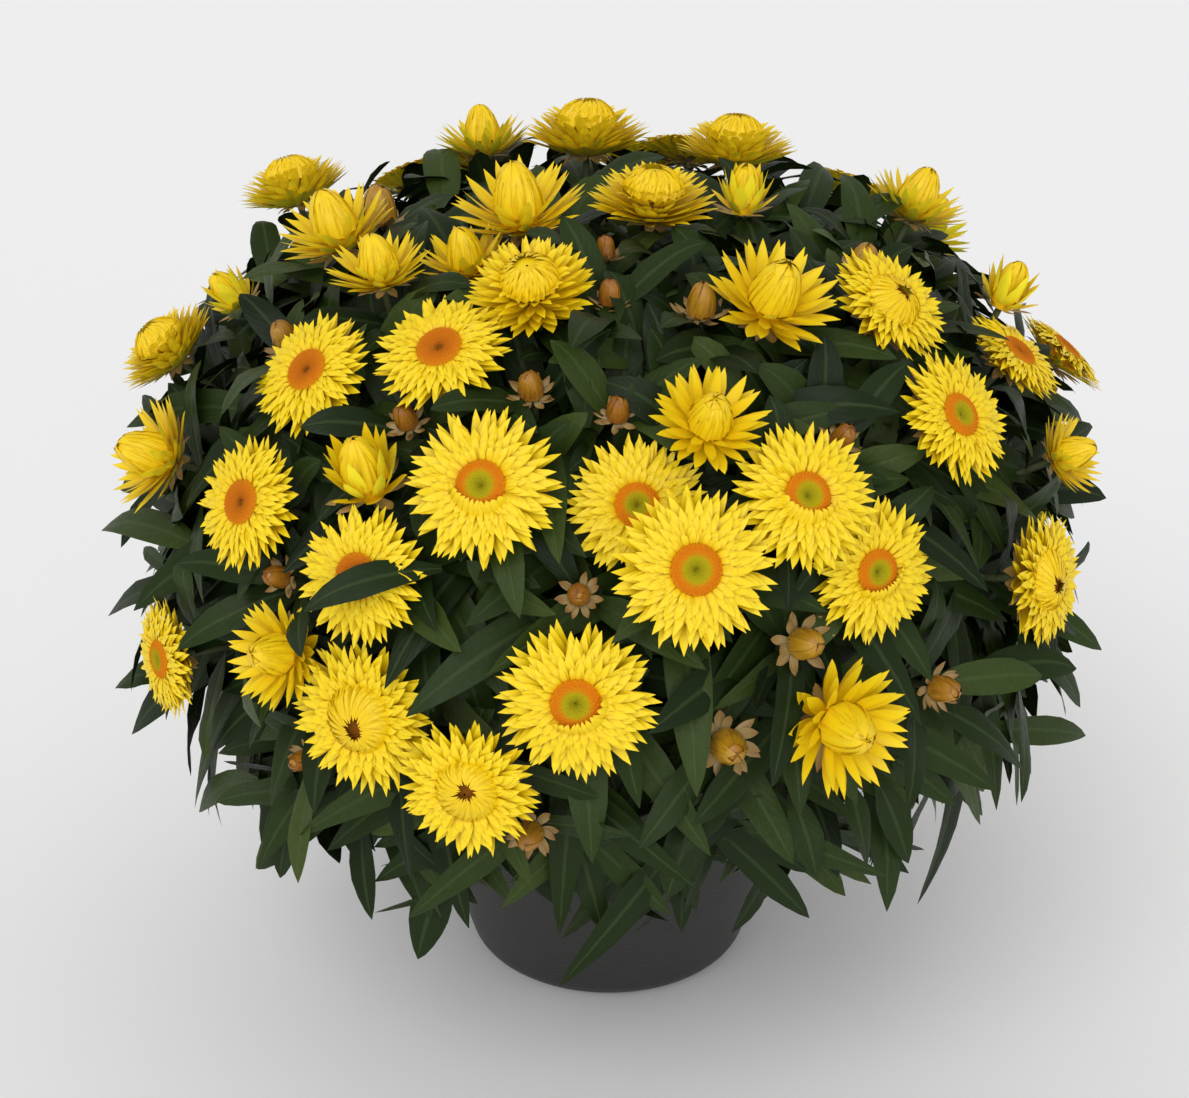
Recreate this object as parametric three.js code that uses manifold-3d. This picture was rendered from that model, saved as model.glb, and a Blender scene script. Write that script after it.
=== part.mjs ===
// Potted strawflower: a bowl-shaped pot of soil, nine leafy branches, and the blooms that they carry.
// Millimetres, +Z up. The origin is the centre of the pot's underside, and -Y is the front.
import * as THREE from 'three';
import { mergeVertices } from 'three/addons/utils/BufferGeometryUtils.js';
import Module from 'manifold-3d';

const wasm = await Module();
wasm.setup();

// Driving dimensions

const POT = {
  height: 144, footRadius: 62, cornerRadius: 20, lean: 0.31, wall: 3, floor: 4,
  lipWidth: 4, lipHeight: 9, sides: 30, drainHoles: 5, drainRadius: 5, drainCircle: 42,
};
const SOIL = { level: 126, crown: 6, shoulder: [0.6, 0.7] };
const GAP = 0.35;

// The rounded head of the plant: where the middles of the blooms lie.
const HEAD = { centreZ: 248, radius: 268, height: 218, squareness: 2.4 };

// Each branch is a main stem, a dense inner core, and shoots and leaves that stand out of the core. The
// stem's ends and the core's rings are [distance from the pot's axis, height].
const STEM = { radius: 4.6, tipRadius: 4, sides: 5, steps: 1, foot: [33, 102], top: [44, 195] };
const CORE = {
  rings: [[108, 153], [154, 200], [162, 270], [122, 345], [56, 378]],
  inner: 7, gap: 1.2, facets: 2, roughness: 0.16,
};
// A shoot's tries are [how far its start is gathered towards the branch's turn, how far its middle sways
// aside].
const SHOOT = {
  radius: 2.3, tipRadius: 1.8, sides: 3, band: 5, start: 0.5,
  tries: [
    [0.3, 0], [0.1, 0], [0.5, 0], [0.3, 16], [0.3, -16], [0, 26], [0, -26], [0.6, 34], [0.6, -34], [1, 0],
  ],
};

// A leaf's sections are [share of its length, share of its full width, way of its wave]. Its bend is towards
// its underside and downwards, its tip stays above its lowest height and within its reach of the head, and its
// tries are the [turn about the shoot, size] that it may take to find room.
const LEAF = {
  length: 90, width: 20, ridge: 1.7, wave: 1.2, leanSpread: 22, sizeSpread: 0.24, widthSpread: 0.16,
  leastCurl: 0.4, curlSpread: 1.2, bend: [0.55, 0.45], lowest: 98, reach: 1.04, free: 0.12,
  clearance: 0.7,
  sections: [[0.3, 0.92, -1], [0.68, 0.86, 1]],
  tries: [[0, 1], [22, 1], [-22, 1], [42, 1], [-42, 1], [0, 0.75], [30, 0.75], [-30, 0.75], [0, 0.55]],
};

// How many draws of chance are kept for each thing.
const DRAWS = { perBloom: 50, beforeBuds: 900, perBud: 20, perShoot: 10 };
const BRACT_JITTER = { outer: 0.12, inner: 0.08 };
const UP = new THREE.Vector3(0, 0, 1);
const DOWN = new THREE.Vector3(0, 0, -1);
const SIDEWAYS = new THREE.Vector3(1, 0, 0);

// Shapes of a bloom, as shares of its radius. A layer of bracts is [tip radius, tip height, notch radius,
// notch height], and each ring of the centre is [radius, height].
const BLOOM_SHAPES = {
  open: {
    bracts: 12, depth: 0.42, sides: 6,
    outer: [1, 0.0, 0.7, -0.08], inner: [0.82, 0.12, 0.5, 0.03], centre: [[0.36, 0.07]], top: 0.16,
  },
  closed: {
    bracts: 10, depth: 0.42, sides: 6,
    outer: [1, 0.08, 0.68, -0.06], inner: [0.8, 0.2, 0.5, 0.05],
    centre: [[0.42, 0.14], [0.34, 0.36]], top: 0.44,
  },
  half: {
    bracts: 8, depth: 0.45, sides: 5,
    outer: [1, 0.28, 0.5, -0.12], inner: [0.74, 0.44, 0.38, 0.06],
    centre: [[0.34, 0.12], [0.35, 0.44]], top: 0.74,
  },
  cup: {
    bracts: 6, depth: 0.62, sides: 5,
    outer: [1, 0.1, 0.42, -0.3], inner: [0.66, 0.66, 0.36, -0.1], centre: [[0.42, 0.2], [0.42, 0.5]], top: 1,
  },
};

// A bud's shape, as shares of its radius: the tips and notches of its star, and the rings of its egg.
const BUD = {
  nod: 12, reach: 0.96, depth: 0.8, bracts: 5, star: [[1, -0.1], [0.5, -0.4]],
  egg: [[0.5, 0.05], [0.48, 0.5]], top: 0.95, jitter: 0.2,
};

// Turn is the compass angle in degrees from the front, positive to the right, and rise the angle up the head.
const BRANCH_TURNS = [-14, 16, 46, 84, 130, 180, -130, -84, -44];

// Every bloom: its node, turn, rise, width across, kind, how far its face nods up from the head's slope in
// degrees, and how far it stands out of the head.
const BLOOMS = [
  ['bloom_top_1', -136, 72, 52, 'half', 4, 4],
  ['bloom_top_2', -168, 80, 68, 'closed', 6, 4],
  ['bloom_top_3', 113, 78, 62, 'closed', 6, 4],
  ['bloom_top_4', 43, 73, 34, 'cup', 6, 0],
  ['bloom_top_5', 88, 58, 54, 'half', 4, 4],
  ['bloom_top_6', -101, 55, 60, 'closed', 12, 12],
  ['bloom_top_7', -59, 59, 58, 'half', 0, 4],
  ['bloom_top_8', -39, 55, 48, 'half', 14, 4],
  ['bloom_top_9', -23, 70, 62, 'half', -2, 4],
  ['bloom_top_10', 14, 75, 60, 'closed', 0, 0],
  ['bloom_top_11', -30, 63, 46, 'half', 4, -10],
  ['bloom_top_12', -12, 55, 57, 'closed', -4, 4],
  ['bloom_left_1', -22, 45, 61, 'open', 0, 0],
  ['bloom_left_2', -39, 39, 60, 'open', -4, 0],
  ['bloom_left_3', -77, 32, 57, 'closed', 14, 0],
  ['bloom_left_4', -75, 44, 32, 'cup', 0, -8],
  ['bloom_left_5', -61, 21, 56, 'half', 6, 0],
  ['bloom_left_6', -41, 21, 60, 'open', 2, 0],
  ['bloom_left_7', -54, 0, 57, 'open', 4, 0],
  ['bloom_left_8', -35, 5, 50, 'half', 14, -4],
  ['bloom_left_9', -27, 28, 44, 'cup', 34, -4],
  ['bloom_left_10', -25, 16, 60, 'open', 4, 0],
  ['bloom_left_11', -25, 1, 69, 'closed', 6, -6],
  ['bloom_front_1', -13, -2, 62, 'closed', 2, 6],
  ['bloom_front_2', -3, 5, 68, 'open', 4, 0],
  ['bloom_front_3', 8, 19, 68, 'open', -2, 8],
  ['bloom_front_4', 3, 27, 60, 'open', 0, -14],
  ['bloom_front_5', -13, 28, 67, 'open', -2, 2],
  ['bloom_front_6', 11, 36, 50, 'half', 8, 4],
  ['bloom_front_7', 20, 26, 64, 'open', 2, 4],
  ['bloom_right_1', 28, 16, 62, 'open', -4, -8],
  ['bloom_right_2', 23, 1, 60, 'half', 8, 0],
  ['bloom_right_3', 25, 53, 60, 'half', -4, 0],
  ['bloom_right_4', 44, 49, 60, 'closed', -10, 0],
  ['bloom_right_5', 70, 43, 34, 'cup', 20, 6],
  ['bloom_right_6', 64, 36, 54, 'open', 12, -4],
  ['bloom_right_7', 84, 29, 54, 'open', 18, 0],
  ['bloom_right_8', 43, 32, 62, 'open', -2, 0],
  ['bloom_right_9', 62, 21, 42, 'half', 8, 0],
  ['bloom_right_10', 51, 9, 62, 'closed', 4, 0],
  ['blooms_back_1', 160, 64, 60, 'open', 0, 0],
  ['blooms_back_1', 174, 56, 58, 'closed', 0, 0],
  ['blooms_back_2', -150, 61, 62, 'closed', 0, 0],
  ['blooms_back_2', -138, 54, 58, 'open', 0, 0],
  ['blooms_back_3', 128, 51, 60, 'open', 0, 0],
  ['blooms_back_3', 119, 43, 58, 'half', 0, 0],
  ['blooms_back_4', -172, 38, 64, 'open', 0, 0],
  ['blooms_back_4', 178, 29, 60, 'closed', 0, 0],
  ['blooms_back_4', -162, 32, 58, 'half', 0, 0],
  ['blooms_back_5', 146, 31, 62, 'open', 0, 0],
  ['blooms_back_5', 138, 22, 60, 'closed', 0, 0],
  ['blooms_back_6', -128, 31, 60, 'open', 0, 0],
  ['blooms_back_6', -120, 23, 58, 'half', 0, 0],
  ['blooms_back_6', -132, 19, 60, 'closed', 0, 0],
  ['blooms_back_7', 108, 13, 62, 'open', 0, 0],
  ['blooms_back_7', 117, 8, 62, 'half', 0, 0],
  ['blooms_back_7', 109, 2, 62, 'closed', 0, 0],
  ['blooms_back_8', 167, 8, 64, 'open', 0, 0],
  ['blooms_back_8', 175, 3, 62, 'closed', 0, 0],
  ['bloom_back_9', -171, 11, 62, 'half', 0, 0],
];

// The brown buds, which grow on the branches: turn, rise and width across.
const BUDS = [
  [-75, 66, 32], [0, 57, 20], [-1, 66, 18], [15, 55, 26], [52, 57, 28], [28, 33, 20], [1, 39, 20],
  [-3, 16, 20], [20, 9, 28], [37, 1, 24], [12, 0, 30], [-8, -9, 24], [-37, 13, 20], [-25, 36, 20],
  [-10, 42, 22], [-51, 43, 24], [-34, -5, 18], [154, 46, 26], [-103, 10, 26],
];

// Leafy shoots with no bloom, between the blooms.
const FILLERS = [
  [-4, 47], [9, 54], [31, 43], [-12, 17], [-31, 50], [64, 55], [-54, 33], [-70, 10], [36, 24], [66, -2],
  [-40, 82], [-94, 45], [-88, 18], [145, 8], [-152, 10],
];

// The skirt of leafy shoots over the pot's rim: shoots per row, and the row's rise and reach.
const SKIRT = [[8, -14, 0.86], [8, -35, 0.76]];
const FILLER_REACH = 0.84;

const degrees = THREE.MathUtils.degToRad;

// A repeatable number from 0 to 1 for a pair of counters.
function chance(a, b) {
  const wave = Math.sin(a * 12.9898 + b * 78.233) * 43758.5453;
  return wave - Math.floor(wave);
}

// The horizontal direction at a turn.
function outward(turn) {
  return new THREE.Vector3(Math.sin(degrees(turn)), -Math.cos(degrees(turn)), 0);
}

// Radius and height, above the head's centre, of the head's surface at a rise.
function headProfile(rise) {
  const power = 2 / HEAD.squareness;
  const cos = Math.cos(degrees(rise));
  const sin = Math.sin(degrees(rise));
  return [HEAD.radius * cos ** power, Math.sign(sin) * HEAD.height * Math.abs(sin) ** power];
}

function headPoint(turn, rise, reach = 1) {
  const [radius, height] = headProfile(rise);
  return outward(turn).multiplyScalar(radius * reach).setZ(HEAD.centreZ + height * reach);
}

// How far out a point lies: 1 on the head's surface.
function headShare({ x, y, z }) {
  const radius = Math.hypot(x, y) / HEAD.radius;
  const height = Math.abs(z - HEAD.centreZ) / HEAD.height;
  return (radius ** HEAD.squareness + height ** HEAD.squareness) ** (1 / HEAD.squareness);
}

// The direction that a bloom faces: straight out of the head, tipped up by its nod.
function headNormal(turn, rise, nod = 0) {
  const [radius, height] = headProfile(rise);
  const power = HEAD.squareness - 1;
  const across = (radius / HEAD.radius) ** power / HEAD.radius;
  const up = Math.sign(height) * (Math.abs(height) / HEAD.height) ** power / HEAD.height;
  const slope = Math.min(Math.atan2(up, across) + degrees(nod), Math.PI / 2);
  return outward(turn).multiplyScalar(Math.cos(slope)).setZ(Math.sin(slope));
}

// Two directions square to an axis, and to each other.
function sideAxes(axis, reference = Math.abs(axis.z) < 0.9 ? UP : SIDEWAYS) {
  const first = new THREE.Vector3().crossVectors(reference, axis).normalize();
  return [first, new THREE.Vector3().crossVectors(axis, first)];
}

// Solids from rings of points

// Triangles between two closed rings, which are followed in step. Where they are level, the shorter diagonal
// is taken. A ring of one point gives one face with no area, which toSolid drops.
function stitch(lower, upper) {
  const faces = [];
  let i = 0;
  let j = 0;
  while (i < lower.length || j < upper.length) {
    const a = lower[i % lower.length];
    const b = upper[j % upper.length];
    const nextA = lower[(i + 1) % lower.length];
    const nextB = upper[(j + 1) % upper.length];
    const lead = (i + 1) / lower.length - (j + 1) / upper.length;
    const level = Math.abs(lead) < 1e-9;
    if (level ? nextA.distanceTo(b) < nextB.distanceTo(a) : lead < 0) {
      faces.push([a, nextA, b]);
      i += 1;
    } else {
      faces.push([a, nextB, b]);
      j += 1;
    }
  }
  return faces;
}

// One closed solid through rings that run from its bottom to its top. A ring of one point closes an end.
function loft(rings) {
  const faces = rings.slice(1).flatMap((ring, k) => stitch(rings[k], ring));
  const foot = capOf(rings[0]).map((face) => face.reverse());
  return toSolid(geometryOf([...faces, ...foot, ...capOf(rings.at(-1))]));
}

function capOf(ring) {
  return ring.slice(2).map((corner, k) => [ring[0], ring[k + 1], corner]);
}

function geometryOf(faces) {
  return new THREE.BufferGeometry().setFromPoints(faces.flat());
}

// A closed geometry as a solid.
function toSolid(geometry) {
  const bare = new THREE.BufferGeometry();
  const flat = geometry.index ? geometry.toNonIndexed() : geometry;
  bare.setAttribute('position', flat.getAttribute('position'));
  const merged = mergeVertices(bare, 1e-3);
  const corners = merged.index.array;
  const triVerts = [];
  for (let k = 0; k < corners.length; k += 3) {
    const [a, b, c] = corners.slice(k, k + 3);
    if (a !== b && b !== c && a !== c) triVerts.push(a, b, c);
  }
  return new wasm.Manifold(new wasm.Mesh({
    numProp: 3, vertProperties: merged.attributes.position.array, triVerts: new Uint32Array(triVerts),
  }));
}

function revolve(profile, sides) {
  const points = profile.map(([radius, z]) => new THREE.Vector2(radius, z));
  return toSolid(new THREE.LatheGeometry(points, sides).rotateX(Math.PI / 2));
}

// A ring of points round a curve.
function ringOn(curve, share, radius, sides, spin = 0) {
  const chord = curve.getPoint(1).sub(curve.getPoint(0)).normalize();
  const [first, second] = sideAxes(curve.getTangent(share), Math.abs(chord.z) < 0.9 ? UP : SIDEWAYS);
  return Array.from({ length: sides }, (_, side) => {
    const angle = spin + (2 * Math.PI * side) / sides;
    return curve.getPoint(share).addScaledVector(first, radius * Math.cos(angle))
      .addScaledVector(second, radius * Math.sin(angle));
  });
}

// A tapered tube along a curve.
function tube(curve, { radius, tipRadius, sides, steps }, swell = 0) {
  return loft(Array.from({ length: steps + 1 }, (_, k) => {
    const share = k / steps;
    return ringOn(curve, share, THREE.MathUtils.lerp(radius, tipRadius, share) + swell, sides);
  }));
}

// Pot and soil

function wallRadius(z) {
  const leanAngle = Math.atan(POT.lean);
  const bendRadius = POT.footRadius + POT.cornerRadius * Math.cos(leanAngle);
  const bendZ = POT.cornerRadius * (1 - Math.sin(leanAngle));
  return bendRadius + POT.lean * (z - bendZ);
}

// The rounded corner between the foot and the wall, drawn in by an inset.
function cornerPoints(inset, steps) {
  const end = Math.PI / 2 - Math.atan(POT.lean);
  const radius = POT.cornerRadius - inset;
  return Array.from({ length: steps + 1 }, (_, k) => {
    const angle = (end * k) / steps;
    return [POT.footRadius + radius * Math.sin(angle), POT.cornerRadius - radius * Math.cos(angle)];
  });
}

function makePot() {
  const { height, lipWidth, lipHeight, wall, floor } = POT;
  const lipZ = height - lipHeight;
  let pot = revolve([
    [0, 0], ...cornerPoints(0, 3), [wallRadius(lipZ), lipZ], [wallRadius(lipZ) + lipWidth, lipZ + 1],
    [wallRadius(height) + lipWidth, height], [wallRadius(height) - wall, height],
    ...cornerPoints(wall, 1).reverse(), [0, floor],
  ], POT.sides);
  for (let hole = 0; hole < POT.drainHoles; hole += 1) {
    const place = outward((360 * hole) / POT.drainHoles).multiplyScalar(POT.drainCircle);
    const drill = new THREE.CylinderGeometry(POT.drainRadius, POT.drainRadius, 4 * floor, 8);
    pot = pot.subtract(toSolid(drill.rotateX(Math.PI / 2).translate(place.x, place.y, 0)));
  }
  return pot;
}

// The soil fills the pot almost to its rim, and is slightly heaped.
function makeSoil() {
  const { level, crown, shoulder } = SOIL;
  const inset = POT.wall + 2 * GAP;
  const radius = wallRadius(level);
  return revolve([
    [0, POT.floor + GAP], [POT.footRadius, POT.floor + GAP], ...cornerPoints(inset, 1).slice(1),
    [radius - inset, level], [radius * shoulder[0], level + crown * shoulder[1]], [0, level + crown],
  ], POT.sides);
}

// Leaves

// A leaf's centre line and its upward normal, at a share of its length.
function leafFrame({ root, direction, normal, side, length, curl, droop }, share) {
  const [under, down] = LEAF.bend;
  const bend = normal.clone().multiplyScalar(-under).addScaledVector(DOWN, down + droop).normalize();
  const centre = root.clone().addScaledVector(direction, length * share)
    .addScaledVector(bend, (length * curl * share * share) / 2);
  const tangent = direction.clone().addScaledVector(bend, curl * share).normalize();
  return { centre, up: new THREE.Vector3().crossVectors(tangent, side).normalize() };
}

// The sections of a blade with a raised midrib, and its tip.
function leafRings(leaf, swell = 0) {
  const rings = LEAF.sections.map(([share, fullness, waveSide]) => {
    const { centre, up } = leafFrame(leaf, share);
    const half = (leaf.width / 2) * fullness + swell;
    const wave = leaf.wave * waveSide;
    return [
      centre.clone().addScaledVector(leaf.side, -half).addScaledVector(up, wave - swell),
      centre.clone().addScaledVector(leaf.side, half).addScaledVector(up, -wave - swell),
      centre.clone().addScaledVector(up, LEAF.ridge + swell),
    ];
  });
  return [...rings, [leafFrame(leaf, 1).centre]];
}

// A leaf from one face of a shoot, turned about the shoot by a skew in degrees. Key numbers its draws.
function leafOn(shoot, share, side, skew, scale, key) {
  const axis = shoot.curve.getTangent(share);
  const corners = ringOn(shoot.curve, share, 1, SHOOT.sides, shoot.spins[share]);
  const root = shoot.curve.getPoint(share);
  const away = corners[side].clone().add(corners[(side + 1) % SHOOT.sides]).addScaledVector(root, -2)
    .normalize().applyAxisAngle(axis, degrees(skew));
  const lean = degrees(shoot.lean + LEAF.leanSpread * (chance(key, 1) - 0.5));
  const direction = axis.clone().multiplyScalar(Math.cos(lean)).addScaledVector(away, Math.sin(lean));
  const size = scale * (1 + LEAF.sizeSpread * (chance(key, 2) - 0.5));
  return {
    root, direction,
    normal: axis.clone().multiplyScalar(Math.sin(lean)).addScaledVector(away, -Math.cos(lean)),
    side: new THREE.Vector3().crossVectors(axis, away).normalize(),
    length: LEAF.length * size,
    width: LEAF.width * Math.sqrt(scale) * (1 + LEAF.widthSpread * (chance(key, 3) - 0.5)),
    curl: shoot.curl * (LEAF.leastCurl + LEAF.curlSpread * chance(key, 4)),
    droop: shoot.droop,
    wave: LEAF.wave * (2 * chance(key, 5) - 1),
  };
}

// Blooms and buds

// Ring of points round a bloom's axis. Even places take one [radius, height], and odd places the other.
function starRing(frame, count, even, odd, jitter = 0) {
  return Array.from({ length: count }, (_, k) => {
    const [radius, height] = k % 2 === 0 ? even : odd;
    const reach = radius * (1 + jitter * (chance(frame.key + k, 6) - 0.5));
    const angle = frame.spin + (2 * Math.PI * k) / count;
    return frame.centre.clone().addScaledVector(frame.axis, height)
      .addScaledVector(frame.first, reach * Math.cos(angle))
      .addScaledVector(frame.second, reach * Math.sin(angle));
  });
}

function bloomFrame([, turn, rise, across, kind, nod, out], index) {
  const axis = headNormal(turn, rise, nod);
  const [first, second] = sideAxes(axis);
  const radius = across / 2;
  const centre = headPoint(turn, rise).addScaledVector(headNormal(turn, rise), out);
  const base = centre.clone().addScaledVector(axis, -radius * BLOOM_SHAPES[kind].depth);
  const key = DRAWS.perBloom * index;
  return { centre, axis, first, second, radius, base, kind, spin: 6 * chance(index, 7), key };
}

function makeBloom(frame) {
  const { bracts, sides, outer, inner, centre, top } = BLOOM_SHAPES[frame.kind];
  const scaled = (shares) => shares.map((share) => share * frame.radius);
  const [tipR, tipZ, notchR, notchZ] = scaled(outer);
  const [innerR, innerZ, footR, footZ] = scaled(inner);
  return loft([
    [frame.base],
    starRing(frame, 2 * bracts, [tipR, tipZ], [notchR, notchZ], BRACT_JITTER.outer),
    starRing(frame, 2 * bracts, [footR, footZ], [innerR, innerZ], BRACT_JITTER.inner),
    ...centre.map((ring) => starRing(frame, sides, scaled(ring), scaled(ring))),
    [frame.centre.clone().addScaledVector(frame.axis, top * frame.radius)],
  ]);
}

function budFrame([turn, rise, across], index) {
  const axis = headNormal(turn, rise, BUD.nod);
  const [first, second] = sideAxes(axis);
  const radius = across / 2;
  const centre = headPoint(turn, rise, BUD.reach);
  const base = centre.clone().addScaledVector(axis, -radius * BUD.depth);
  const key = DRAWS.beforeBuds + DRAWS.perBud * index;
  return { centre, axis, first, second, radius, base, spin: 6 * chance(index, 8), key };
}

// A bud's rings: a small star of papery bracts, and a pointed egg of scales above it.
function budRings(frame) {
  const scaled = (shares) => shares.map((share) => share * frame.radius);
  return [
    starRing(frame, 2 * BUD.bracts, scaled(BUD.star[0]), scaled(BUD.star[1]), BUD.jitter),
    ...BUD.egg.map((ring) => starRing(frame, BUD.bracts, scaled(ring), scaled(ring))),
    [frame.centre.clone().addScaledVector(frame.axis, BUD.top * frame.radius)],
  ];
}

// Branches

// A branch's main stem, in the upright plane at its turn, lowered by a drop.
function stemCurve(turn, drop = 0) {
  const at = ([radius, z]) => outward(turn).multiplyScalar(radius).setZ(z - drop);
  return new THREE.LineCurve3(at(STEM.foot), at(STEM.top));
}

// A wedge of the rough core, between the turns halfway to the next branches.
function makeCore({ turn, left, right }, index) {
  const rings = CORE.rings.map(([radius, z], level) => {
    const margin = THREE.MathUtils.radToDeg(CORE.gap / radius);
    const arc = Array.from({ length: CORE.facets + 1 }, (_, k) => {
      const bump = 1 + CORE.roughness * (chance(10 * index + k, 20 + level) - 0.5);
      const at = THREE.MathUtils.lerp(left + margin, right - margin, k / CORE.facets);
      return outward(at).multiplyScalar(radius * bump).setZ(z);
    });
    return [outward(turn).multiplyScalar(CORE.inner).setZ(z), ...arc];
  });
  return loft(rings);
}

// The branches, each with the turns that its wedge runs between. They are measured on from the branch's own,
// so that no wedge spans the half turn.
function listBranches() {
  return BRANCH_TURNS.map((turn, k) => {
    const before = BRANCH_TURNS[(k + BRANCH_TURNS.length - 1) % BRANCH_TURNS.length];
    const after = BRANCH_TURNS[(k + 1) % BRANCH_TURNS.length];
    const left = turn - turnsBetween(before, turn) / 2;
    return { node: `branch_${k + 1}`, turn, left, right: turn + turnsBetween(turn, after) / 2 };
  });
}

// Degrees from one turn on to another, from 0 to 360.
function turnsBetween(from, to) {
  return (to - from + 720) % 360;
}

function branchAt(turn) {
  return branches.find(({ left, right }) => turnsBetween(left, turn) <= right - left);
}

// A shoot starts inside its branch's core and comes into its end along the end's axis.
function shootCurve(branch, { turn, rise, end, axis }, [gather, sway]) {
  const inward = ((branch.turn - turn + 540) % 360) - 180;
  const start = headPoint(turn + gather * inward, rise, SHOOT.start);
  const middle = end.clone().addScaledVector(axis, -0.5 * start.distanceTo(end));
  return new THREE.QuadraticBezierCurve3(start, middle.addScaledVector(outward(turn + 90), sway), end);
}

// What a shoot carries: the places of its whorls of leaves, the angle that they lean away at, and how much
// they droop and curl.
const FOLIAGE = {
  bloom: { whorls: [0.66], whorlLeaves: 3, lean: 55, scale: 1, droop: 0.1, curl: 0.7 },
  bud: { whorls: [0.62], whorlLeaves: 2, lean: 55, scale: 0.9, droop: 0.2, curl: 0.7 },
  filler: { whorls: [0.5, 0.92], whorlLeaves: 3, lean: 42, scale: 1, droop: 0.1, curl: 0.7 },
  skirt: { whorls: [0.45, 0.92], whorlLeaves: 3, lean: 57, scale: 0.86, droop: 0.15, curl: 0.6 },
};

function listShoots() {
  const shoots = [];
  blooms.forEach(({ frame }, k) => {
    const [, turn, rise] = BLOOMS[k];
    const end = frame.base.clone().addScaledVector(frame.axis, -GAP);
    shoots.push({ turn, rise, end, axis: frame.axis, ...FOLIAGE.bloom });
  });
  BUDS.forEach(([turn, rise, across], k) => {
    const bud = budFrame([turn, rise, across], k);
    shoots.push({ turn, rise, end: bud.base, axis: bud.axis, bud, ...FOLIAGE.bud });
  });
  FILLERS.forEach(([turn, rise]) => shoots.push({ turn, rise, ...FOLIAGE.filler }));
  SKIRT.forEach(([count, rise, reach], row) => {
    for (let k = 0; k < count; k += 1) {
      const turn = (360 * (k + 0.5 * row + 0.25)) / count;
      shoots.push({ turn, rise, end: headPoint(turn, rise, reach), ...FOLIAGE.skirt });
    }
  });
  return shoots;
}

// A shoot with its branch, its curve, and the turn of its leaves at each whorl.
function shootAlong(shoot, index, course) {
  const branch = branchAt(shoot.turn);
  const end = shoot.end ?? headPoint(shoot.turn, shoot.rise, FILLER_REACH);
  const axis = shoot.axis ?? headNormal(shoot.turn, shoot.rise);
  const curve = shootCurve(branch, { ...shoot, end, axis }, course);
  const band = SHOOT.band / curve.getLength();
  const places = [0, ...shoot.whorls.flatMap((whorl) => [whorl, whorl + band]), 1];
  const spins = {};
  places.forEach((place, k) => {
    spins[place] = 6 * chance(index, 9) + (Math.PI / 3) * Math.max(Math.floor((k - 1) / 2), 0);
  });
  return { ...shoot, index, node: branch.node, curve, spins, places, leaves: {} };
}

// The shoot takes the first of its tries that is clear of the other nodes.
function placeShoot(shoot, index, obstacles) {
  const options = SHOOT.tries.map((course) => shootAlong(shoot, index, course));
  const clear = options.find((option) => {
    const trial = obstacle(makeShoot(option), option.node);
    return !obstacles.some((other) => other.node !== option.node && meets(trial, other));
  });
  const placed = clear ?? options[0];
  obstacles.push(obstacle(makeShoot(placed), placed.node, placed));
  return placed;
}

function shootRing(shoot, place) {
  const radius = THREE.MathUtils.lerp(SHOOT.radius, SHOOT.tipRadius, place);
  return ringOn(shoot.curve, place, radius, SHOOT.sides, shoot.spins[place]);
}

// One solid of a shoot, with the leaves of each whorl grown out of its three faces, and its bud.
function makeShoot(shoot) {
  const rings = shoot.places.map((place) => shootRing(shoot, place));
  if (shoot.bud) rings.push(...budRings(shoot.bud));
  const faces = [...capOf(rings[0]).map((face) => face.reverse()), ...capOf(rings.at(-1))];
  rings.slice(1).forEach((upper, k) => {
    const leaves = shoot.leaves[shoot.places[k]];
    if (leaves) faces.push(...leafyBand(rings[k], upper, leaves));
    else faces.push(...stitch(rings[k], upper));
  });
  return toSolid(geometryOf(faces));
}

function leafyBand(lower, upper, leaves) {
  return lower.flatMap((corner, side) => {
    const next = (side + 1) % SHOOT.sides;
    const root = [corner, lower[next], upper[next]];
    const leaf = leaves[side];
    const rings = leaf ? [root, ...leafRings(leaf)] : [root];
    const faces = leaf ? rings.slice(1).flatMap((ring, k) => stitch(rings[k], ring)) : [root];
    return [...faces, [corner, upper[next], upper[side]]];
  });
}

// The face of a shoot that a leaf grows from: two corners of the whorl's lower ring and one of its upper
// ring.
function leafFoot(shoot, whorl, side) {
  const next = (side + 1) % SHOOT.sides;
  const lower = shootRing(shoot, whorl);
  const upper = shootRing(shoot, shoot.places[shoot.places.indexOf(whorl) + 1]);
  return [lower[side], lower[next], upper[next]];
}

// Obstacles are the solids that leaves keep clear of: each with its node, its box and the shoot it belongs
// to.
function obstacle(solid, node, shoot) {
  const { min, max } = solid.boundingBox();
  return { solid, node, shoot, box: new THREE.Box3(new THREE.Vector3(...min), new THREE.Vector3(...max)) };
}

function meets(one, other) {
  return one.box.intersectsBox(other.box) && !one.solid.intersect(other.solid).isEmpty();
}

// Whether a leaf is clear of all but its own core, and beyond its root also of the rest of its own shoot.
function hasRoom(whole, free, shoot, obstacles) {
  return obstacles.every((other) => {
    if (other.shoot === shoot) return !meets(free, other.free ?? other);
    return other.carrier === shoot.node || !meets(whole, other);
  });
}

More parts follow.
